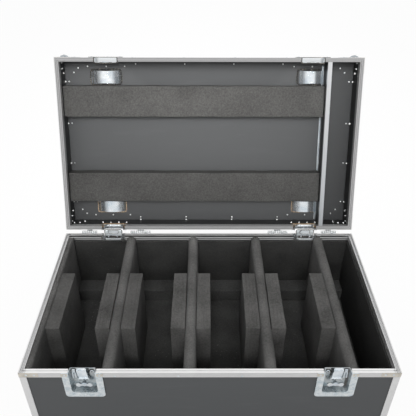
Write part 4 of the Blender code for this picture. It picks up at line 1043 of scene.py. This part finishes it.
# Painted shade: dark strips round the pad and the boss, and dark bars beside the hook.
creases = [seam(oblong(*PAD), 0.0018, 0.0007), tape(circle(*BOSS, BOSS_R + 0.0002), True, 0.002, 0.0007),
           tape(circle(*BOSS, BOSS_R * 0.42)[::-1], True, 0.0012, 0.004)]
creases += [plate(oblong(u - 0.0016, u + 0.0016, -0.05, -0.002, 0.001), -0.0008, 0.0012)
            for u in CREASE_X]
trim("latch_pressings", in_dishes(pads), ZINC, "base")
trim("latch_crease_shade", in_dishes(creases), DARK_EDGE_AND_SHADE, "base")
lug = plate(oblong(*LUG), LUG_LOW, LUG_TOP, 0.0006)
for word, grid in zip(("left", "right"), in_line([lug], LUG_FACE, 0, ABOVE)):
    trim(f"latch_lug_{word}", [grid], HOOK, f"hook_{word}")

# %% [markdown]
# ## The angle at the lid divider's foot
# The lid's divider is fixed by a light angle along its root. The foam bars interrupt
# it, so it comes in three lengths, each of an upright leg and a foot.

# %% Three lengths of angle
DIVIDER_FACE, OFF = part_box("lid_divider")[0].x, 0.0002
ANGLE_HIGH, ANGLE_THICK, ANGLE_FOOT = 0.02, 0.001, 0.0045
LEGS = ((ANGLE_THICK + OFF, ANGLE_HIGH), (ANGLE_FOOT, ANGLE_THICK + OFF))
NEAR, FAR = BAR_Y - BAR_HALF - 0.0006, BAR_Y + BAR_HALF + 0.0006
lengths = [foam_part((DIVIDER_FACE - wide, DIVIDER_FACE - OFF), (PANEL - tall, PANEL - OFF), ends,
                     "y", 0.0003, 0.0003, 0.0004, count=6)
           for ends in ((-0.3185, -FAR), (-NEAR, NEAR), (FAR, 0.332)) for wide, tall in LEGS]
trim("divider_angle", lengths, DIVIDER_ANGLE, "lid")

# %% [markdown]
# ## Sawn holes
# Each hole in the lid was sawn by hand. The front castor holes have dark, splintered
# edges, the rear ones and the notches for the stays show clean ply.

# %% Edges of the castor holes and of the stays' notches
HOLE, CASTOR_X, CASTOR_Y = (-0.0607, 0.0607, -0.0287, 0.0287, 0.011), 0.422, 0.272
INNER_X, INNER_Y = HALF_X - SKIN - BOARD, HALF_Y - SKIN - BOARD
ARCH_HALF, ARCH_TOP, ARCH_ROUND = 0.0485, 0.035, 0.012


def arch_outline():
    """Up one side of a notch, over its top and down the other, with rounded corners."""
    centre = (ARCH_ROUND - ARCH_HALF, ARCH_TOP - ARCH_ROUND)
    left = centre + polar(ARCH_ROUND, np.linspace(math.pi, math.pi / 2, 9))
    return np.vstack([[(-ARCH_HALF, 0.002)], left, (left * (-1, 1))[::-1], [(ARCH_HALF, 0.002)]])


hole = resampled(oblong(*HOLE), 0.0022)
SAWN = (("dark_ragged", -1, DARK_EDGE_AND_SHADE, 0.0042, 0.6), ("clean", 1, PLY_EDGE, 0.002, 0.4))
for word, sy, finish, wide, rough in SAWN:
    bands = [(sx, tape(hole, True, wide, 0.0007, rough, 5 + sx)) for sx in (-1, 1)]
    grids = [laid(band, (sx * CASTOR_X, sy * CASTOR_Y, PANEL), *BELOW) for sx, band in bands]
    trim(f"hole_edges_{word}", grids, finish, "lid")
notch = tape(arch_outline()[::-1] * (1, 0.93), False, 0.0064, 0.0044)
trim("stay_arch_edges", in_line([notch], INNER_Y, 0, FRONT), PLY_EDGE, "lid")

# %% [markdown]
# ## Pressings in the stay dishes and the catches
# The recessed stays are stamped with raised pads or an oval frame and have two bolts
# on each half, and a link spans them; dark strips of painted shade line the link's folds and
# a slot. A catch has a mouth ringed by painted shade and a small tongue.

# %% Frames, bolts, links and tongues
def frame_ring(outline, wire):
    """A round wire that follows a closed outline: section w (cos a, sin a) about each point."""
    a = np.linspace(0, math.tau, 8, endpoint=False)
    out = unit(outline - outline.mean(0))
    grid = lifted(outline[:, None] + out[:, None] * (wire * np.cos(a))[:, None], wire * np.sin(a))
    return np.concatenate([grid, grid[:1]])


STAY_FACE = span("stay_hinge_base_left")[0][1]
LINK_Y = STAY_FACE + 0.017
MOUTH, MOUTH_Y, MOUTH_Z = (-0.045, 0.045, -0.0215, -0.0012, 0.005), 0.022 - HALF_Y, 0.0009
TONGUE, TONGUE_Y, TONGUE_Z = (-0.0125, 0.0125, -0.002, 0.002, 0.001), 0.0168 - HALF_Y, 0.0016
BOLTS = np.array([(-0.018, 0.0045, 0.001), (0.018, 0.0045, 0.001)])
BASE_PADS = [plate(oblong(-0.032, 0.032, 0.012, 0.0212, 0.003), -0.0006, 0.0026, 0.001)]
LID_PADS = [frame_ring(oblong(-0.029, 0.029, 0.0045, 0.0165, 0.0055), 0.002),
            plate(oblong(-0.01, 0.01, 0.008, 0.013, 0.002), -0.001, 0.0016, 0.0008)]
for body, face, grids in (("base", FLIPPED, BASE_PADS), ("lid", FRONT, LID_PADS)):
    trim(f"stay_pressings_{body}", in_line(grids, STAY_FACE, 0, face), STAY_ZINC, body)
    bolts = [(spot, (0, -1, 0)) for spot in in_line(BOLTS, STAY_FACE, 0, face)]
    rivets(f"stay_bolts_{body}", bolts, body, 0.0034, 0.0026, HOOK)

sheet = oblong(-0.035, 0.035, -0.015, 0.0178, 0.005)
link = [plate(oblong(u, u + 0.012, -0.01, 0.015, 0.004), -0.0008, 0.004, 0.0014)
        for u in (-0.035, 0.023)]
link += [plate(sheet, -0.0008, 0.0008), frame_ring(oblong(-0.018, 0.018, 0.001, 0.013, 0.004), 0.0018)]
# Painted shade: dark strips in the link's folds, and a dark slot on each stay.
folds = [seam(sheet, 0.0026, 0.001), seam(oblong(-0.02, 0.02, -0.001, 0.015, 0.004), 0.0014, 0.001)]
slot = plate(oblong(-0.029, 0.029, 0.0006, 0.0115, 0.002), -0.0004, 0.0012)
trim("stay_links", in_line(link, LINK_Y, 0, FRONT), STAY_ZINC, "base")
dark = in_line(folds, LINK_Y, 0, FRONT) + in_line([slot], STAY_FACE, 0, FLIPPED)
trim("stay_slot_shade", dark, DARK_EDGE_AND_SHADE, "base")
# Painted shade: a dark strip round each catch's mouth.
mouth, tongue = seam(oblong(*MOUTH), 0.0022, 0.001), plate(oblong(*TONGUE), -0.0012, 0.0012, 0.0006)
trim("catch_mouth_shade", in_line([mouth], MOUTH_Y, MOUTH_Z, BELOW), DARK_EDGE_AND_SHADE, "lid")
trim("catch_tongues", in_line([tongue], TONGUE_Y, TONGUE_Z, BELOW), ZINC, "lid")

# %% [markdown]
# ## Heads along the edges
# Rivets run along the angles and the rim, on every outer face of both halves.

# %% Heads on the angles and the rim
LONG, SHORT = (-0.3, -0.1, 0.1, 0.3), (-0.084, 0.084)
ANGLE_IN, RIM_LINE = 0.0165, 0.017


def angle_heads(top, sign):
    """Heads on the angles and the rim of one half, on all its faces."""
    rows = []
    for end in (-1, 1):
        for z in (top - sign * ANGLE_IN, sign * RIM_LINE):
            rows += [((x, end * HALF_Y, z), (0, end, 0)) for x in LONG]
            rows += [((end * HALF_X, y, z), (end, 0, 0)) for y in SHORT]
        rows += [((x, end * (HALF_Y - ANGLE_IN), top), (0, 0, sign)) for x in LONG]
        rows += [((end * (HALF_X - ANGLE_IN), y, top), (0, 0, sign)) for y in SHORT]
    return rows


HEADS["base"] += angle_heads(BASE_FLOOR, -1)
HEADS["lid"] += angle_heads(LID_TOP, 1)
print({body: len(rows) for body, rows in HEADS.items()}, "heads so far")

# %% [markdown]
# ## Heads on the flanges
# Each dish is let in from outside and held by rivets through its flange: round the
# latches and catches, beside the side handles and along the castor dishes.

# %% Heads on the flanges of the dishes
LATCH_SPOTS = ((0.346, -0.03), (0.346, -0.07), (0.346, -0.111), (0.402, -0.111),
               (0.458, -0.03), (0.458, -0.07), (0.458, -0.111))
CATCH_SPOTS = ((0.345, 0.024), (0.345, 0.056), (0.402, 0.056), (0.459, 0.056), (0.459, 0.024))
HANDLE_SPOTS = [(y, z) for y in (-0.0855, 0.0855) for z in (-0.2025, -0.15, -0.0975)]
FRONT_FACE, SIDE_FACE, LID_FACE = -0.3501, 0.5993, LID_TOP - 0.0005
DISH_X, DISH_IN = (0.345, 0.42, 0.496), (0.031, 0.1225)
for side in (-1, 1):
    HEADS["base"] += [((side * x, FRONT_FACE, z), (0, -1, 0)) for x, z in LATCH_SPOTS]
    HEADS["base"] += [((side * SIDE_FACE, y, z), (side, 0, 0)) for y, z in HANDLE_SPOTS]
    HEADS["lid"] += [((side * x, FRONT_FACE, z), (0, -1, 0)) for x, z in CATCH_SPOTS]
for sx, sy in CORNERS:
    HEADS["lid"] += [((sx * x, sy * (HALF_Y - y), LID_FACE), (0, 0, 1)) for x in DISH_X for y in DISH_IN]
rivets("base_rivets", HEADS["base"], "base")
rivets("lid_rivets", HEADS["lid"], "lid")

# %% [markdown]
# ## Tails in the lid
# The lid has no lining, so the far ends of its rivets show as small pale buttons:
# pairs along the edges, a cluster in each corner, a row by each castor dish and four
# above each lid stay.

# %% Tails on the lid's panel and walls
STAY_X, STAY_UP = (0.356, 0.39, 0.424, 0.458), 0.0645
SIDE_DEEP, FRONT_TAIL, SIDE_TAIL = 0.102, 0.0245, 0.0262
panel, wall = [], []
for sy in (-1, 1):
    panel += [(x, sy * (HALF_Y - FRONT_TAIL)) for x in LONG]
    wall += [((x, sy * INNER_Y, SIDE_DEEP + 0.005), (0, -sy, 0)) for x in LONG]
for sx, sy in CORNERS:
    panel += [(sx * x, sy * (HALF_Y - DISH_IN[0] - 0.003)) for x in DISH_X]
    panel += [(sx * (HALF_X - u), sy * (HALF_Y - v)) for u, v in TOP_RIVETS]
    wall += [((sx * INNER_X, sy * (HALF_Y - u), LID_TOP - v), (-sx, 0, 0)) for u, v in SIDE_RIVETS]
    wall += [((sx * (HALF_X - u), sy * INNER_Y, LID_TOP - v), (0, -sy, 0)) for u, v in SIDE_RIVETS]
for sx in (-1, 1):
    for y in (-0.254, *SHORT, 0.254):
        panel.append((sx * (HALF_X - SIDE_TAIL), y))
        wall.append(((sx * INNER_X, y, SIDE_DEEP), (-sx, 0, 0)))
    wall += [((sx * x, INNER_Y, STAY_UP), (0, -1, 0)) for x in STAY_X]
rivets("lid_rivet_tails", [((*spot, PANEL), (0, 0, -1)) for spot in panel], "lid", 0.0031, 0.0034, TAIL)
rivets("lid_wall_tails", wall, "lid", 0.0036, 0.0048, TAIL)

# %% [markdown]
# ## The floor and the light
# A pale floor keeps the case's shadow. The camera sees the floor almost white. What
# the metals mirror is graded: bright overhead and behind, and a duller room in front.

# %% Floor and world
pale = Paint("floor_pale")
pale.finish(pale.mix(pale.noise(3.0, 2.0), (0.96, 0.96, 0.96), (0.98, 0.98, 0.98)), 0.9)
glow = pale.node("Emission", {"Color": (1, 1, 1, 1), "Strength": 1.0})
seen = pale.node("LightPath", {}, "Is Camera Ray")
lit = Value(pale, pale.shader.outputs[0])
blend = pale.node("MixShader", {0: seen * 0.93, 1: lit, 2: glow})
pale.feed(pale.tree.nodes["Material Output"].inputs["Surface"], blend)
ground = bpy.data.meshes.new("floor")
ground.from_pydata([(-30, -30, 0), (30, -30, 0), (30, 30, 0), (-30, 30, 0)], [], [(0, 1, 2, 3)])
ground.materials.append(pale.material)
floor = add_object("floor", ground)
floor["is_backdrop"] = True

world = bpy.data.worlds.new("studio")
bpy.context.scene.world = world
world.use_nodes = True
sky = Graph(world.node_tree)
aim = sky.node("TexCoord", {}, "Generated")
across, back, height = (sky.node("SeparateXYZ", {"Vector": aim}, index) for index in range(3))
window = 1 - sky.ramp(abs(across), 0.5, 0.85)
mirrored = 0.18 + (window + sky.ramp(height, 0.4, 0.62) + sky.ramp(back, 0.05, 0.35)) * 0.8
camera_ray, glossy_ray = (sky.node("LightPath", {}, f"Is {word} Ray") for word in ("Camera", "Glossy"))
overhead = 0.3 + sky.ramp(height, 0.25, 0.95) * 0.5
power = overhead * (1 - camera_ray) * (1 - glossy_ray) + camera_ray + glossy_ray * mirrored.least(1.0)
ground_light = sky.tree.nodes["Background"]
ground_light.inputs["Color"].default_value = (1, 1, 1, 1)
sky.feed(ground_light.inputs["Strength"], power)
print("floor and world set")

# %% [markdown]
# ## Two soft lamps
# A broad lamp high in front lights the whole case. A narrow beam lifts the lid.

# %% Lamps
def lamp(name, place, target, size, watts, spread=180.0):
    """Hang a soft square lamp that faces a point."""
    data = bpy.data.lights.new(name, "AREA")
    data.size, data.energy, data.spread = size, watts, math.radians(spread)
    made = add_object(name, data)
    away = Vector(place) - Vector(target)
    made.matrix_world = Matrix.Translation(place) @ away.to_track_quat("Z", "Y").to_matrix().to_4x4()
    made.visible_glossy = False


lamp("key", (-0.5, -3.0, 2.7), (0, 0.1, 0.6), 3.2, 46)
lamp("lid_light", (0, -2.4, 3.0), (0, 0.66, 1.35), 1.4, 28, 48.0)
bpy.context.scene.view_settings.view_transform = "Standard"
print("lamps hung")

# %% [markdown]
# ## Sizes
# The box of everything to be seen is measured, and its size is printed.

# %% Sizes, and the end
low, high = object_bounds()
print("visual", [round(b - a, 4) for a, b in zip(low, high)])
